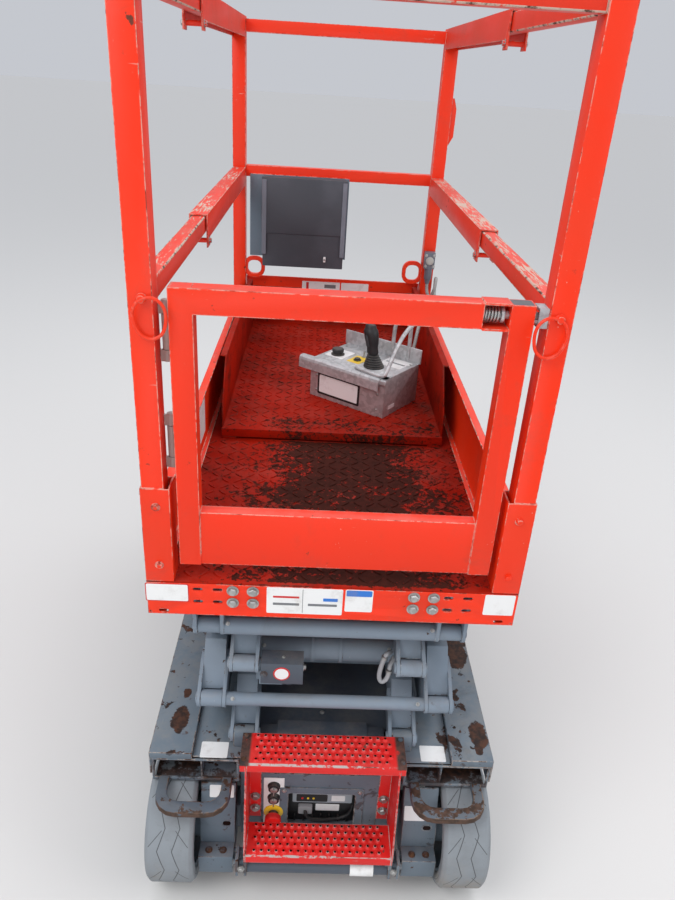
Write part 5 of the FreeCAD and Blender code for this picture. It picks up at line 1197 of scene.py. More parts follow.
def rounded_outline(width, height, corner):
    """A rectangle about 0, 0 with rounded corners, as (across, up) pairs."""
    pairs = []
    for hand_x, hand_y, first in ((1, 1, 0), (-1, 1, 90), (-1, -1, 180), (1, -1, 270)):
        for step in range(6):
            turn = math.radians(first + 18 * step)
            pairs.append((hand_x * (width / 2 - corner) + corner * math.cos(turn),
                          hand_y * (height / 2 - corner) + corner * math.sin(turn)))
    return pairs


def frame_ring(name, middle, outer, inner, thick, corners=(5, 7)):
    """A flat frame that faces the rear; outer and inner are (width, height) in millimetres."""
    middle = Vector(middle)

    def row(size, lift, corner):
        return [(middle + Vector((u, -lift, v))) / 1000
                for u, v in rounded_outline(*size, corner)]

    soft = min(1.0, thick / 4)
    wide, narrow = corners
    rings = [row(inner, 0, narrow), row(inner, thick - soft, narrow),
             row([side + 2 * soft for side in inner], thick, narrow + soft),
             row([side - 2 * soft for side in outer], thick, wide - soft),
             row(outer, thick - soft, wide), row(outer, 0, wide)]
    shell = bmesh.new()
    rows = [[shell.verts.new(spot) for spot in ring] for ring in rings]
    count = len(rows[0])
    for low_row, high_row in zip(rows, rows[1:] + rows[:1]):
        for index in range(count):
            after = (index + 1) % count
            shell.faces.new((low_row[index], low_row[after], high_row[after], high_row[index]))
    bmesh.ops.recalc_face_normals(shell, faces=shell.faces)
    mesh = bpy.data.meshes.new(name)
    shell.to_mesh(mesh)
    shell.free()
    for face in mesh.polygons:
        face.use_smooth = True
    mesh.set_sharp_from_angle(angle=math.radians(32))
    return mesh


def slab(name, middle, across, up, width, height, thick, corner=3.0):
    """A rounded plate on a surface; middle and sizes in millimetres, thick is outwards."""
    across, up = Vector(across).normalized(), Vector(up).normalized()
    out = across.cross(up)
    middle = Vector(middle)
    rings = []
    for lift, inset in ((0, 0), (thick * 0.7, 0), (thick, min(thick * 0.4, 0.8))):
        wide, high = width - 2 * inset, height - 2 * inset
        outline = rounded_outline(wide, high, min(corner, 0.48 * wide, 0.48 * high))
        rings.append([(middle + across * u + up * v + out * lift) / 1000 for u, v in outline])
    return skin_mesh(name, rings, smooth=False)


print("skin helpers ready")

# %% [markdown]
# The machine carries plain pale plates with rounded corners, some with a coloured band. Each is a thin
# slab laid on the sheet that carries it, listed with the middle of its back face and the two ways
# along it. The roll-out deck's front toe board has a second sheet on top, and its plates lie on that.

# %% Blank plates


def plate_piece(name, body, layers):
    """A plate made of slabs that lie on each other."""
    meshes = [painted_mesh(slab(name + "_layer", *spec), finish) for finish, *spec in layers]
    return link_mesh(name, joined_mesh(name, meshes), body, None)


ACROSS, UPWARD, AHEAD = (1, 0, 0), (0, 0, 1), (0, 1, 0)
BACK_FACE = -770.0
PLATES = {
    "sill_plate_left": ("platform", [
        ("plate_red", (-339, BACK_FACE, 867), ACROSS, UPWARD, 88, 45, 0.5),
        ("plate_white", (-339, BACK_FACE - 0.5, 867), ACROSS, UPWARD, 84, 41, 0.3)]),
    "sill_plate_middle": ("platform", [
        ("plate_white", (-59, BACK_FACE, 856.5), ACROSS, UPWARD, 156, 66, 0.6),
        ("plate_line", (-63, BACK_FACE - 0.6, 856.5), ACROSS, UPWARD, 1.2, 60, 0.2, 0.4),
        ("plate_line", (-97, BACK_FACE - 0.6, 848), ACROSS, UPWARD, 54, 6, 0.2, 1),
        ("plate_red", (-97, BACK_FACE - 0.6, 866), ACROSS, UPWARD, 54, 5, 0.2, 1),
        ("plate_line", (-22, BACK_FACE - 0.6, 848), ACROSS, UPWARD, 60, 6, 0.2, 1),
        ("plate_blue", (-6, BACK_FACE - 0.6, 862), ACROSS, UPWARD, 30, 8, 0.2, 1)]),
    "sill_plate_blue": ("platform", [
        ("plate_white", (52.5, BACK_FACE, 862), ACROSS, UPWARD, 57, 56, 0.6),
        ("plate_blue", (52.5, BACK_FACE - 0.6, 881), ACROSS, UPWARD, 53, 15, 0.3)]),
    "sill_plate_right": ("platform", [
        ("plate_white", (343.5, BACK_FACE, 864), ACROSS, UPWARD, 63, 52, 0.6)]),
    "inner_deck_plate_left": ("chassis", [
        ("plate_white", (-256, -744, 385), ACROSS, AHEAD, 64, 46, 0.5)]),
    "inner_deck_plate_right": ("chassis", [
        ("plate_white", (264, -738, 385), ACROSS, AHEAD, 60, 46, 0.5)]),
    "cover_plate_left": ("chassis", [
        ("plate_white", (-236, -775.2, 281), ACROSS, (0, 0.243, 0.97), 58, 34, 0.5),
        ("plate_line", (-236, -776.2, 276), ACROSS, (0, 0.243, 0.97), 40, 3, 0.3, 1)]),
    "cover_plate_right": ("chassis", [
        ("plate_white", (230, -791.5, 240), ACROSS, (0, 0.447, 0.894), 50, 36, 0.5)]),
    "shelf_plate": ("chassis", [
        ("dark_cover", (-1, -700, 385), ACROSS, AHEAD, 222, 100, 3, 4)]),
    "pocket_sheet_left": ("chassis", [
        ("chassis_grey", (-338, -727, 308.5), ACROSS, AHEAD, 112, 80, 2.5, 2)]),
    "pocket_sheet_right": ("chassis", [
        ("chassis_grey", (338, -727, 308.5), ACROSS, AHEAD, 112, 80, 2.5, 2)]),
    "gate_caps": ("gate", [
        ("guard_red", (-290, -746, 1492.5), ACROSS, AHEAD, 38, 34, 2.5, 3),
        ("dark_cover", (290, -746, 1492.5), ACROSS, AHEAD, 39, 35, 2.5, 3)]),
    "toe_board_edge": ("roll_deck", [
        ("guard_red", (0, 888, 1084), ACROSS, UPWARD, 668, 42, 4)]),
    "toe_board_plates": ("roll_deck", [
        ("plate_white", (-45.5, 884, 1075), ACROSS, UPWARD, 147, 34, 0.5),
        ("plate_white", (86.5, 884, 1075), ACROSS, UPWARD, 107, 34, 0.5),
        ("plate_red", (-98, 883.5, 1075), ACROSS, UPWARD, 10, 26, 0.2, 1),
        ("plate_line", (-10, 883.5, 1075), ACROSS, UPWARD, 44, 14, 0.2, 1)]),
    "toe_wall_plate": ("platform", [
        ("plate_white", (-351, -215, 985), (0, 1, 0), UPWARD, 150, 110, 0.6)]),
    "tray_plate_right": ("tray_right", [
        ("plate_white", (401, -60, 220), (0, 1, 0), UPWARD, 150, 60, 0.6)]),
    "tray_plate_left": ("tray_left", [
        ("plate_white", (-401, -60, 220), (0, -1, 0), UPWARD, 150, 60, 0.6)]),
    "guard_plate": ("roll_deck", [
        ("plate_white", (-60, 888, 1000), (-1, 0, 0), UPWARD, 160, 70, 0.6)]),
}
for name, (body, layers) in PLATES.items():
    plate_piece(name, body, layers)
print("plates", len(PLATES))

# %% [markdown]
# Some CAD nodes hold several things of different colour: the switch box is on an arm, the key strip
# carries its knobs, and the gate's barrels sit on red posts. Instead of cutting them apart, the faces
# whose middle lies in a box get another finish. Where a finer piece is made below, such as the rings on
# the front posts, the plain faces that stand for it are taken off the skin first.

# %% Finishes by region


def inside(spot, low, high):
    """Whether a place in metres lies in a box given in millimetres."""
    return all(low[axis] <= spot[axis] * 1000 <= high[axis] for axis in range(3))


def repaint(node, finish, low, high):
    """Gives another finish to the faces of a skin inside a box in millimetres."""
    mesh = skins[node].data
    mesh.materials.append(MATERIALS[finish])
    chosen = [face for face in mesh.polygons if inside(face.center, low, high)]
    for face in chosen:
        face.material_index = len(mesh.materials) - 1
    return len(chosen)


def uncover(node, low, high, place=Matrix()):
    """Takes the faces inside a box off a skin; place turns the box where it stands askew."""
    mesh = skins[node].data
    back = place.inverted()
    shell = bmesh.new()
    shell.from_mesh(mesh)
    gone = [face for face in shell.faces if inside(back @ face.calc_center_median(), low, high)]
    bmesh.ops.delete(shell, geom=gone, context="FACES")
    shell.to_mesh(mesh)
    shell.free()
    return len(gone)


REGIONS = [
    # node, finish, low corner, high corner
    ("arms_2_inner", "dark_cover", (-151, -736, 591), (-54, -689, 651)),
    ("ground_controls", "plate_white", (-139, -751, 120), (-87, -740, 304)),
    ("ground_controls", "stop_red", (-139, -785, 150), (-87, -766, 210)),
    ("rear_brackets", "dark_cover", (-160, -890, 98), (160, -840, 142)),
    ("rear_post_left", "hinge_grey", (-334, -731, 1130), (-312.5, -712, 1465)),
    ("gate", "hinge_grey", (-334, -731, 1130), (-311.8, -712, 1465)),
    ("gate", "hinge_grey", (-312, -726.6, 1130), (-280, -712, 1465)),
    ("front_guard", "rim_grey", (-322, 845, 1186), (44, 853, 1441)),
    ("rear_post_right", "galvanised", (317, -763, 1454), (330.5, -723, 1491)),
]
for node, finish, low, high in REGIONS:
    print(node, finish, "faces", repaint(node, finish, low, high))
for low, high in (((-334.6, 850, 1104), (-261, 864, 1186)), ((261, 850, 1109), (334.6, 864, 1198))):
    print("front_guard without", uncover("front_guard", low, high), "faces of a plain ring")

# %% [markdown]
# The two hinges of the gate are welded barrels. The caps of their pins show as dark dots, and thick
# paint fills the seams, so small collars stand at each joint between the barrels. The collars are
# near-black, painted shade for the dark gap in each joint. The rear posts carry a loose round ring
# each, and the front posts a flat D-shaped eye for a harness.

# %% Hinge caps and guard rings


def wire_piece(name, body, points, radius, finish, closed=False, ends=True):
    """A bent rod: a smooth curve with a round section, in millimetres."""
    data = bpy.data.curves.new(name, "CURVE")
    data.dimensions = "3D"
    data.bevel_depth = radius / 1000
    data.bevel_resolution = 4
    data.resolution_u = 10
    data.use_fill_caps = ends
    spline = data.splines.new("NURBS")
    spline.points.add(len(points) - 1)
    for point, spot in zip(spline.points, points):
        point.co = (*millimetres(*spot), 1)
    spline.order_u = 3
    spline.use_cyclic_u = closed
    spline.use_endpoint_u = not closed
    rod = bpy.data.objects.new(name + "_curve", data)
    bpy.context.scene.collection.objects.link(rod)
    bpy.context.view_layer.update()
    mesh = settled(rod)
    for face in mesh.polygons:
        face.use_smooth = True
    return link_mesh(name, mesh, body, finish)


for level in (1135, 1350):
    axis_x, axis_y = -323, -722
    mesh = turned("hinge_cap", (axis_x, axis_y, level + 110), UP,
                  [(0, 7.6), (2.0, 7.2), (3.2, 4.5), (3.8, 0.4)], sides=16)
    link_mesh("hinge_cap_%d" % level, mesh, "platform", "hinge_grey")
    # The seam collars are painted shade: near-black for the dark gaps between the barrels.
    seams = [painted_mesh(turned("seam", (axis_x, axis_y, level + height), UP,
                                 [(0, 8.2), (0.4, 8.6), (0.8, 8.2)], sides=16), "shade_black")
             for height in (21.9, 87.3)]
    link_mesh("hinge_seams_%d" % level, joined_mesh("hinge_seams", seams), "platform", None)

D_RING = [(311, 1442), (314, 1466), (330, 1480), (352, 1478), (367, 1462), (368, 1438),
          (358, 1414), (338, 1405), (318, 1416)]
for side_name, hand in (("right", 1), ("left", -1)):
    ring = [(hand * x, -776 - 0.06 * abs(z - 1442) ** 0.5, z) for x, z in D_RING]
    wire_piece("post_ring_" + side_name, "platform", ring, 3.0, "guard_red", closed=True)
    lug = turned("ring_lug", (hand * 352, -769.5, 1476), REAR,
                 [(0, 9), (2, 9), (4.5, 7), (8.5, 6.5), (9.5, 4)], sides=20)
    link_mesh("ring_lug_" + side_name, lug, "platform", "guard_red")
for side_name, middle_x, low, high in (("left", -301, 1105, 1185), ("right", 301, 1110, 1197)):
    mesh = frame_ring("anchor_ring", (middle_x, 863, (low + high) / 2), (78, high - low),
                      (50, high - low - 30), 12, (33, 20))
    link_mesh("anchor_ring_" + side_name, mesh, "roll_deck", "guard_red")
print("hinges and rings done")

# %% [markdown]
# Inside the ladder a cover frame is screwed around a window, and the battery charger sits behind it.
# The key strip beside it is a pale plate with two key switches and a stop button on a yellow ring.

# %% Charger window and key strip


window_frame = frame_ring("window_frame", (5, panel_y, 188), (208, 160), (166, 120), 3.0)
link_mesh("window_frame", window_frame, "chassis", "chassis_grey")
fasten("window_screws", "chassis", "small", REAR,
       [(-88, panel_y - 3, 258), (98, panel_y - 3, 258), (-88, panel_y - 3, 118),
        (98, panel_y - 3, 118)])
charger_y = -725
face_parts = [
    ("plate_steel", slab("gauge", (8, charger_y, 202), ACROSS, UPWARD, 150, 34, 1.2, 4)),
    ("black_plastic", slab("gauge_glass", (-18, charger_y - 1.2, 202), ACROSS, UPWARD,
                           78, 26, 0.8, 3)),
    ("plate_white", slab("gauge_note", (48, charger_y - 1.2, 202), ACROSS, UPWARD,
                         34, 20, 0.6, 2)),
    ("plate_white", slab("charger_note", (22, charger_y, 167), ACROSS, UPWARD, 60, 24, 0.8, 2)),
    ("hose_grey", slab("charger_block", (-34, charger_y, 165), ACROSS, UPWARD, 36, 28, 9, 4)),
]
for step in range(3):
    lamp = turned("lamp", (-42 + 14 * step, charger_y - 2, 202), REAR,
                  [(0, 3), (1.6, 2.8), (2.6, 1.6), (2.9, 0.2)], sides=12)
    face_parts.append(("stop_yellow" if step else "stop_red", lamp))
for step in range(7):
    face_parts.append(("black_plastic", slab("fin", (-60 + 22 * step, charger_y, 132), ACROSS,
                                             UPWARD, 4, 24, 6, 1.5)))
charger_face = joined_mesh("charger_face", [painted_mesh(mesh, finish)
                                            for finish, mesh in face_parts])
link_mesh("charger_face", charger_face, "chassis", None)
wire_piece("charger_lead", "chassis", [
    (-34, charger_y - 8, 163), (-34, charger_y - 16, 159), (-22, charger_y - 17, 143),
    (20, charger_y - 12, 136), (64, charger_y - 8, 139), (84, charger_y - 4, 160),
    (86, charger_y + 2, 178)], 4.0, "black_plastic")

STRIP_Y, STRIP_X = -750, -113
strip_parts = []
for level in (272, 232):
    strip_parts += [
        ("black_plastic", turned("key_collar", (STRIP_X, STRIP_Y, level), REAR,
                                 [(0, 15.5), (3, 15), (4.5, 13.4), (10.6, 13.2)])),
        ("bolt_steel", turned("key_barrel", (STRIP_X, -760, level), REAR,
                              [(0, 9), (3, 8.6), (3.6, 7.4), (3.6, 2)])),
        ("bolt_steel", slab("key_blade", (STRIP_X, -763, level - 3), ACROSS, UPWARD,
                            3, 22, 5, 0.8)),
    ]
strip_parts += [
    ("stop_yellow", turned("stop_ring", (STRIP_X, STRIP_Y, 180), REAR,
                           [(0, 24), (2.4, 24), (4, 21), (5, 14)])),
    ("stop_red", turned("stop_button", (STRIP_X, -771.5, 180), REAR,
                        [(0, 13), (2, 20.2), (9, 20.6), (12.2, 17), (13.2, 10), (13.4, 1)])),
]
strip = joined_mesh("key_switches", [painted_mesh(mesh, finish) for finish, mesh in strip_parts])
link_mesh("key_switches", strip, "chassis", None)
print("rear panel done")

# %% [markdown]
# The drive and lift control is a galvanised box that stands askew on the roll-out deck. Everything on
# it is laid out along the box's own sides and then turned with it: the folded front rail, the bent rod
# that keeps a hand from being squeezed, plain plates, knob and joystick. The plain lever, knob and
# guard of the solid come off the skin, and the finer pieces stand on the same spots.

# %% Places on the control box

BOX_PLACE = (Matrix.Translation((0.096, 0.153, 0.925))
             @ Matrix.Rotation(math.radians(-37.3), 4, "Z"))
BOX_TOP = 120


def on_box(along, across, up):
    """A place on the turned box, in the machine's millimetres."""
    return tuple(BOX_PLACE @ (Vector((along, across, up)) / 1000) * 1000)


def box_way(along, across, up):
    return tuple(BOX_PLACE.to_3x3() @ Vector((along, across, up)))


def bent_sheet(name, outline, length, middle, thick=2.0):
    """A folded strip on the box: outline is (across, up) on the box, length is along it."""
    outer = [Vector((0, across, up)) for across, up in outline]
    inner = []
    for index, spot in enumerate(outer):
        before = outer[max(index - 1, 0)]
        after = outer[min(index + 1, len(outer) - 1)]
        way = (after - before).normalized()
        inner.append(spot + Vector((0, -way.z, way.y)) * thick)
    section = outer + inner[::-1]
    rings = []
    for end in (-length / 2, length / 2):
        rings.append([Vector(on_box(middle + end, spot.y, spot.z)) / 1000 for spot in section])
    return skin_mesh(name, rings, smooth=False)


for low, high in (((12, -56, 120.6), (80, 12, 250)), ((-116, -36, 120.6), (-72, 8, 150)),
                  ((119, -93, 120.6), (133, 58, 260))):
    print("control box without", uncover("control_box", low, high, BOX_PLACE), "faces")
rail = bent_sheet("box_rail", [(-84, 122), (-100, 123), (-106, 119), (-108, 112), (-108, 86)],
                  292, -26)
link_mesh("box_rail", rail, "roll_deck", "box_steel")
feet = [painted_mesh(slab("rod_foot", on_box(126, across, BOX_TOP), box_way(1, 0, 0),
                          box_way(0, 1, 0), 18, long, 1.6, 3), "box_steel")
        for across, long in ((-80, 26), (-20, 150))]
link_mesh("rod_feet", joined_mesh("rod_feet", feet), "roll_deck", None)
box_rod = [on_box(*spot) for spot in (
    (22, -80, 127), (60, -88, 127), (104, -91, 127), (125, -89, 128), (128, -80, 140),
    (127, -50, 182), (126, -10, 226), (125, 30, 247), (124, 52, 250), (110, 70, 248),
    (98, 86, 236), (96, 91, 206), (96, 92, 126))]
wire_piece("box_rod", "roll_deck", box_rod, 6.0, "box_steel")
wire_piece("box_rod_short", "roll_deck", [on_box(*spot) for spot in (
    (38, 92, 124), (38, 92, 190), (42, 90, 232), (70, 88, 247), (98, 86, 240))], 6.0,
    "box_steel")
along_box, across_box = box_way(1, 0, 0), box_way(0, 1, 0)
box_plates = [
    ("black_plastic", slab("plate_back", on_box(-28, -95, 48), along_box, UPWARD, 156, 70, 0.8, 4)),
    ("plate_white", slab("plate_front", on_box(-28, -95.8, 48), along_box, UPWARD,
                         142, 56, 0.6, 3)),
    ("plate_white", slab("top_plate", on_box(80, 46, BOX_TOP), along_box, across_box,
                         84, 70, 0.8, 3)),
    ("plate_line", slab("top_band", on_box(80, 46, BOX_TOP + 0.8), along_box, across_box,
                        66, 8, 0.3, 1)),
    ("plate_white", slab("knob_plate", on_box(-92, -6, BOX_TOP), along_box, across_box,
                         66, 74, 0.8, 3)),
    ("stop_yellow", slab("yellow_plate", on_box(-20, -10, BOX_TOP), along_box, across_box,
                         46, 60, 0.8, 3)),
    ("plate_white", slab("side_tag", on_box(135, -50, 26), box_way(0, 1, 0), UPWARD,
                         34, 12, 0.6, 2)),
]
plates = joined_mesh("box_plates", [painted_mesh(mesh, finish) for finish, mesh in box_plates])
link_mesh("box_plates", plates, "roll_deck", None)
fasten("box_screws", "roll_deck", "screw", tuple(box_way(0, -1, 0)),
       [on_box(-112, -95, 70), on_box(112, -95, 70), on_box(-112, -95, 22),
        on_box(112, -95, 22)])
fasten("box_top_screws", "roll_deck", "screw", UP,
       [on_box(-118, 66, BOX_TOP), on_box(120, 66, BOX_TOP), on_box(-46, 66, BOX_TOP),
        on_box(14, -72, BOX_TOP)])
print("box turned by", round(math.degrees(BOX_PLACE.to_euler().z), 1), "degrees")

# %% [markdown]
# The joystick has a rubber boot with five folds and a grip shaped for a fist, with a trigger in front.
# It leans a little towards the operator. Each is a loft through round sections whose centres follow
# the lean.

# %% Joystick and knob


def leaning_loft(name, sections, lean, spot, finish, sides=24):
    """A loft on the box: sections are (height, radius along, radius across)."""
    rings = []
    for height, long, wide in sections:
        centre = Vector(spot) + Vector(lean) * height
        ring = []
        for step in range(sides):
            turn = 2 * math.pi * step / sides
            ring.append(Vector(on_box(centre.x + long * math.cos(turn),
                                      centre.y + wide * math.sin(turn),
                                      centre.z + height)) / 1000)
        rings.append(ring)
    return painted_mesh(skin_mesh(name, rings), finish)


LEVER = (46, -22, BOX_TOP)
LEAN = (-0.20, 0.03, 0)
folds = [(0, 31, 31), (3, 31, 31), (5, 28, 28)]
for step in range(5):
    base = 6 + 6.2 * step
    wide = 27 - 2.6 * step
    folds += [(base, wide, wide), (base + 2.4, wide + 2.2, wide + 2.2), (base + 4.6, wide - 2,
                                                                         wide - 2)]
folds += [(38, 13, 13)]
grip = [(36, 13, 13), (40, 17, 16), (46, 18, 17), (56, 17, 16), (70, 20, 18),
        (84, 22, 20), (98, 22.5, 20.5), (108, 21.5, 20), (112, 18, 17), (114, 17.5, 16.5),
        (121, 16, 15), (125.5, 12, 11), (126.6, 4, 4)]
trigger = [(62, 4, 3), (66, 6, 4), (80, 6.5, 5), (92, 6, 5), (97, 4, 3)]
lever_parts = [
    leaning_loft("boot", folds, LEAN, LEVER, "black_plastic"),
    leaning_loft("grip", grip, LEAN, LEVER, "black_plastic"),
    leaning_loft("trigger", trigger, LEAN, (LEVER[0] - 4, LEVER[1] - 17, BOX_TOP),
                 "battery_plastic", sides=12),
]
link_mesh("joystick", joined_mesh("joystick", lever_parts), "roll_deck", None)
knob_spot = on_box(-94, -14, BOX_TOP)
knob_parts = [
    ("black_plastic", turned("knob", knob_spot, UP,
                             [(0.8, 21), (3, 21), (4, 16), (9, 15.5), (10, 18), (17, 18.6),
                              (20, 16), (20.6, 6)])),
    ("bolt_steel", turned("toggle", on_box(-20, 22, BOX_TOP), UP,
                          [(0, 7), (3, 7), (3.5, 4), (6, 3.6), (7, 2.2), (19, 3.0), (21, 2.2)],
                          sides=16)),
    ("black_plastic", turned("horn", on_box(-20, -14, BOX_TOP), UP,
                             [(0.8, 12), (3, 12), (4, 9), (7, 8.6), (8.6, 5), (8.8, 1)],
                             sides=20)),
]
knobs = joined_mesh("box_knobs", [painted_mesh(mesh, finish) for finish, mesh in knob_parts])
link_mesh("box_knobs", knobs, "roll_deck", None)
print("joystick faces", sum(len(mesh.polygons) for mesh in lever_parts))

# %% [markdown]
# The control cable is one cord: it leaves the box straight, climbs over the roll-out wall, makes a
# loop by the front post and runs up into the plug on it. Its points are the control points of a smooth
# spline, the same ones as in the CAD source. A tapered boot guards it where it leaves the box.

# %% Control cable

CABLE_DIAMETER = 0.012
CABLE_ROUTE = [
    (0.2011, 0.2250, 0.985), (0.2345, 0.2688, 0.985), (0.262, 0.330, 1.004),
    (0.284, 0.410, 1.075), (0.306, 0.485, 1.117), (0.332, 0.560, 1.124),
    (0.352, 0.630, 1.108), (0.368, 0.690, 1.094), (0.384, 0.742, 1.092),
    (0.388, 0.800, 1.078), (0.390, 0.830, 1.106), (0.388, 0.818, 1.146),
    (0.384, 0.776, 1.154), (0.378, 0.750, 1.122), (0.370, 0.768, 1.086),
    (0.362, 0.806, 1.080), (0.358, 0.826, 1.108), (0.358, 0.826, 1.140),
]


def make_cable():
    data = bpy.data.curves.new("control_cable_line", "CURVE")
    data.dimensions = "3D"
    data.bevel_depth = CABLE_DIAMETER / 2
    data.bevel_resolution = 5
    data.resolution_u = 16
    data.use_fill_caps = True
    spline = data.splines.new("NURBS")
    spline.points.add(len(CABLE_ROUTE) - 1)
    for point, spot in zip(spline.points, CABLE_ROUTE):
        point.co = (*spot, 1)
    spline.order_u = 3
    spline.use_endpoint_u = True
    data.materials.append(MATERIALS["cable_grey"])
    cable = bpy.data.objects.new("control_cable_line", data)
    bpy.context.scene.collection.objects.link(cable)
    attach(cable, "roll_deck")
    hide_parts("control_cable")
    return cable


cable = make_cable()
boot = turned("cable_boot", (201.1, 225.0, 985), box_way(0, 1, 0),
              [(-6, 11.2), (0, 10.8), (2, 9.4), (5, 9.8), (7, 8.6), (10, 9.1), (12, 8.0),
               (15, 8.5), (17, 7.4), (21, 7.6), (28, 6.4)], sides=20)
link_mesh("cable_boot", boot, "roll_deck", "black_plastic")
plug_boot = turned("plug_boot", (358, 826, 1141), DOWN,
                   [(-4, 13.0), (0, 12.4), (3, 11), (6, 11.2), (9, 9.4), (12, 9.8), (16, 8),
                    (22, 6.3)], sides=20)
link_mesh("plug_boot", plug_boot, "roll_deck", "plug_grey")
fasten("socket_screws", "roll_deck", "small", REAR,
       [(343, 812, 1190), (373, 812, 1190), (343, 812, 1230), (373, 812, 1230)])
link_mesh("plug_latch", turned("plug_latch", (358, 812, 1210), REAR,
                               [(0, 15), (3, 15), (4, 12), (7, 11.5), (8, 6)]),
          "roll_deck", "hinge_grey")

# %% [markdown]
# The small switch box between the arms has a round marker, and two dark hoses hook under it. A pale
# hose with clamps hangs by the right arm. They are clipped at both ends to the arm that they ride on,
# so they are rigid pieces here and not free cords.

# %% Switch box, hoses and grease nipples

disc = joined_mesh("marker_disc", [
    painted_mesh(turned("disc_rim", (-103, -735, 622), REAR, [(0, 19), (0.7, 19), (0.9, 18)],
                        sides=36), "plate_red"),
    painted_mesh(turned("disc_face", (-103, -735.6, 622), REAR, [(0, 15.5), (0.7, 15.4)],
                        sides=36), "plate_white"),
])
link_mesh("marker_disc", disc, "arms_2_inner", None)
fasten("switch_box_screws", "arms_2_inner", "screw", UP, [(-100, -712, 650)])
fasten("switch_box_bolts", "arms_2_inner", "medium", REAR, [(-143, -735, 620)], "rust")
fasten("switch_box_side", "arms_2_inner", "medium", RIGHT, [(-55, -716, 626)])
for number, start in enumerate((-118, -104)):
    wire_piece("switch_hose_%d" % number, "arms_2_inner", [
        (start, -712, 596), (start + 2, -708, 578), (start + 10, -694, 556),
        (start + 20, -672, 532), (start + 26, -646, 516), (start + 24, -612, 516),
        (start + 10, -580, 530), (start - 18, -560, 552), (start - 40, -552, 566)],
        5.0, "dark_cover")
wire_piece("hose_loop", "arms_2_inner", [
    (146, -672, 640), (136, -688, 650), (130, -692, 640), (124, -692, 612), (121, -690, 580),
    (128, -690, 562), (140, -690, 570), (145, -688, 592), (146, -680, 612), (158, -668, 622)],
    5.5, "hose_grey")
for number, (spot, way) in enumerate((((130, -692, 640), (0.2, 0, 1)),
                                      ((144, -689, 596), (0.1, 0.1, 1)))):
    band = turned("clamp", Vector(spot) - Vector(way).normalized() * 4, way,
                  [(0, 6.6), (0.6, 7.4), (7.4, 7.4), (8, 6.6)], sides=20)
    link_mesh("hose_clamp_%d" % number, band, "arms_2_inner", "bolt_steel")
tip = Vector((0, -0.72, 0.69))
NIPPLES = [
    ("nipples_deck_hinge", "platform", (-715, 742), 21, 222),
    ("nipples_lower", "arms_2_outer", (-715, 522), 15.5, 214),
    ("nipples_big", "arms_2_inner", (-596, 577), 30, 150),
]
for name, body, (y, z), radius, reach in NIPPLES:
    spot = Vector((0, y, z)) + tip * radius
    fasten(name, body, "nipple", tuple(tip), mirrored([(reach, spot.y, spot.z)]), "bolt_steel")
print("hoses and nipples done")

# %% [markdown]
# Each wheel has five nuts round a hub with a pressed cap. The nuts come from the bolt recipe with
# their places on a circle, and the cap is a lathe piece. They ride on the wheel, so they turn with it.

# %% Wheel nuts and hub caps
WHEELS = [
    # name, side of the machine, axle place in millimetres
    ("rear_left", -1, -737.5), ("rear_right", 1, -737.5),
    ("front_left", -1, 582.5), ("front_right", 1, 582.5),
]
for name, hand, axle in WHEELS:
    circle = [(hand * 355, axle + 62 * math.cos(2 * math.pi * step / 5),
               152.5 + 62 * math.sin(2 * math.pi * step / 5)) for step in range(5)]
    fasten("nuts_" + name, "wheel_" + name, "large", (hand, 0, 0), circle, "bolt_steel",
           seed=3)
    cap = turned("hub_cap", (hand * 376, axle, 152.5), (hand, 0, 0),
                 [(0, 27), (3, 27), (4.5, 24), (12, 23), (15, 20), (16.5, 12), (17, 1)])
    link_mesh("hub_cap_" + name, cap, "wheel_" + name, "rim_grey")
print("wheels", len(WHEELS))

# %% [markdown]
# The swing-out trays have pressed louvres over the power unit, a paddle latch and, inside, batteries
# with filler caps and leads on one side and tank, motor and drive on the other. One louvre is a small
# hooded slab, set out in a row.

# %% Trays, batteries and power unit


def louvre(name, middle, hand):
    """A hooded slot that opens downwards on a tray's outer skin."""
    x, y, z = middle
    section = [(0, 9), (1.2, 9.4), (6.5, 1), (7.2, -7), (6, -8), (0, -8)]
    rings = [[Vector((x + hand * out, y + end, z + up)) / 1000 for out, up in section]
             for end in (-42, -39, 39, 42)]
    for ring in (rings[0], rings[-1]):
        middle_z = z / 1000
        for spot in ring:
            spot.x = x / 1000 + (spot.x - x / 1000) * 0.2
            spot.z = middle_z + (spot.z - middle_z) * 0.8
    return painted_mesh(skin_mesh(name, rings), "chassis_grey")


for side_name, hand in (("right", 1), ("left", -1)):
    rows = [louvre("louvre", (hand * 401, y, z), hand)
            for y in (-420, -310) for z in (150, 174, 198, 222)]
    link_mesh("louvres_" + side_name, joined_mesh("louvres", rows), "tray_" + side_name, None)
    latch = [painted_mesh(mesh, finish) for finish, mesh in (
        ("black_plastic", slab("latch_dish", (hand * 401, 300, 215), (0, hand, 0), UPWARD,
                               70, 54, 1.6, 8)),
        ("bolt_steel", slab("latch_paddle", (hand * 402.4, 300, 217), (0, hand, 0), UPWARD,
                            54, 34, 1.8, 5)))]
    link_mesh("tray_latch_" + side_name, joined_mesh("tray_latch", latch), "tray_" + side_name,
              None)
battery_low, battery_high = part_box("batteries_left")
top_z = battery_high[2] * 1000
run = (battery_high[1] - battery_low[1]) * 1000
first = battery_low[1] * 1000
each = run / (2 + 0.93)
caps, posts = [], []
for index in range(3):
    start = first + index * each
    for step in range(3):
        caps.append((-300, start + each * 0.93 * (0.25 + 0.25 * step), top_z))
    posts += [(-240, start + each * 0.12, top_z), (-362, start + each * 0.80, top_z)]
fasten("battery_caps", "tray_left", "large", UP, caps, "stop_yellow", seed=5)
fasten("battery_posts", "tray_left", "medium", UP, posts, "bolt_steel", seed=6)
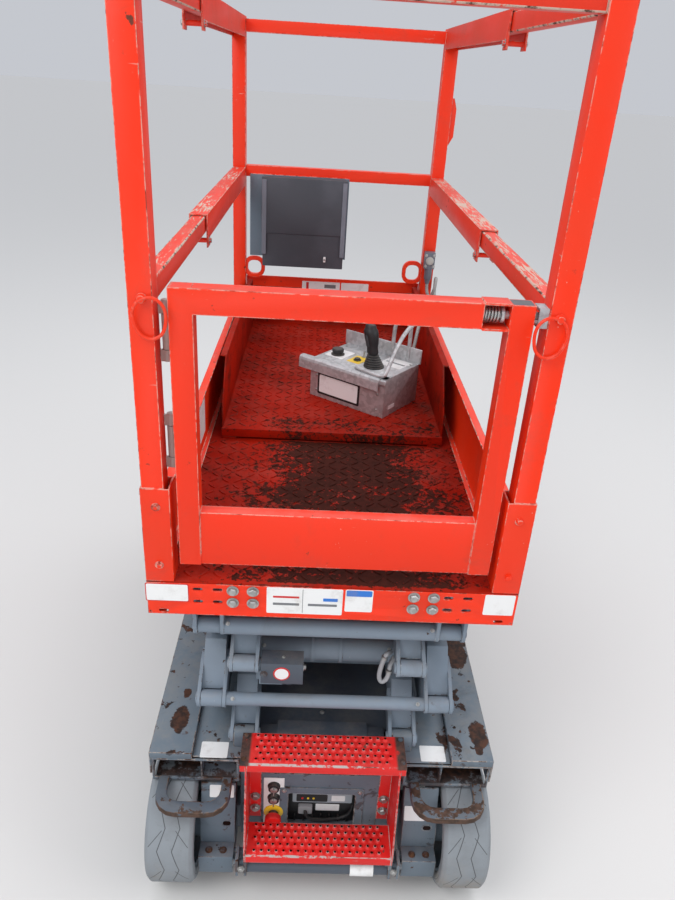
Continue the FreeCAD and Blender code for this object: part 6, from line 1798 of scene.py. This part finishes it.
for index in range(2):
    one, two = posts[2 * index + 1], posts[2 * index + 2]
    wire_piece("battery_lead_%d" % index, "tray_left", [
        (one[0], one[1], top_z + 4), (one[0] + 10, one[1] + 8, top_z + 10),
        ((one[0] + two[0]) / 2, (one[1] + two[1]) / 2, top_z + 9),
        (two[0] - 10, two[1] - 8, top_z + 10), (two[0], two[1], top_z + 4)], 4.5,
        "rubber_black")
unit_low, unit_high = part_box("hydraulic_unit_right")
unit_top = unit_high[2] * 1000
unit_y = unit_low[1] * 1000
unit_run = (unit_high[1] - unit_low[1]) * 1000
filler = turned("tank_cap", (262, unit_y + 80, unit_top), UP,
                [(-1, 22), (3, 22), (4, 19), (14, 19), (16, 17), (16.6, 4)])
link_mesh("tank_cap", filler, "tray_right", "black_plastic")
fasten("tank_bolts", "tray_right", "small", UP,
       [(225, unit_y + 20, unit_top), (375, unit_y + 20, unit_top),
        (225, unit_y + 225, unit_top), (375, unit_y + 225, unit_top)])
ribs = [painted_mesh(slab("drive_rib", (232 + 15 * step, unit_y + 0.847 * unit_run,
                                        unit_low[2] * 1000 + 120), ACROSS, AHEAD, 4,
                          0.24 * unit_run, 12, 1.5), "cylinder_black") for step in range(10)]
link_mesh("drive_ribs", joined_mesh("drive_ribs", ribs), "tray_right", None)
print("trays done")

# %% [markdown]
# The last small parts: a stop bolt with its nut on each slide of the rails, the catch and the pressed
# ribs on the document box, a pale sleeve on the rear pipe and the rims of the two drain holes.

# %% Rail stops, document box and drains
for side_name, hand in (("right", 1), ("left", -1)):
    fasten("slide_bolts_" + side_name, "roll_deck", "medium", (-hand, 0, 0),
           [(hand * 335, -95, 1904), (hand * 335, -95, 1434)])
    fasten("slide_nuts_" + side_name, "roll_deck", "medium", (hand, 0, 0),
           [(hand * 380, -95, 1904), (hand * 380, -95, 1434)])
box_front_y = 792
catch = [painted_mesh(mesh, finish) for finish, mesh in (
    ("plate_white", slab("catch_plate", (-38, box_front_y, 1199), ACROSS, UPWARD, 9, 20, 2.4,
                         3)),
    ("bolt_steel", turned("catch_stud", (-38, box_front_y - 2.4, 1199), REAR,
                          [(0, 3.6), (1.6, 3.4), (2.2, 2)], sides=16)))]
link_mesh("box_catch", joined_mesh("box_catch", catch), "roll_deck", None)
ribs = [painted_mesh(slab("box_rib", (across, box_front_y, 1340), ACROSS, UPWARD, 16, 262, 2.4,
                          3), "plug_grey") for across in (-263, 25)]
link_mesh("box_ribs", joined_mesh("box_ribs", ribs), "roll_deck", None)
band = turned("pipe_tag", (78, -852, 120), RIGHT, [(0, 18.5), (56, 18.5)])
link_mesh("pipe_tag", band, "chassis", "plate_white")
for side_name, x in (("left", -222), ("right", 262)):
    rim = joined_mesh("drain_rim", [
        painted_mesh(slab("drain_rim", (x, -803.6, 205), ACROSS, (0, 0.232, 0.973), 26, 18,
                          1.0, 8.5), "chassis_grey"),
        # The hole is a near-black sheet in the rim: painted shade for the dark inside the drain.
        painted_mesh(slab("drain_hole_shade", (x, -804.6, 205.2), ACROSS, (0, 0.232, 0.973), 19, 12,
                          0.2, 5.5), "shade_black")])
    link_mesh("drain_" + side_name, rim, "chassis", None)
print("rail stops, box and drains done")

# %% Size of the finished model
low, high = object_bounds()
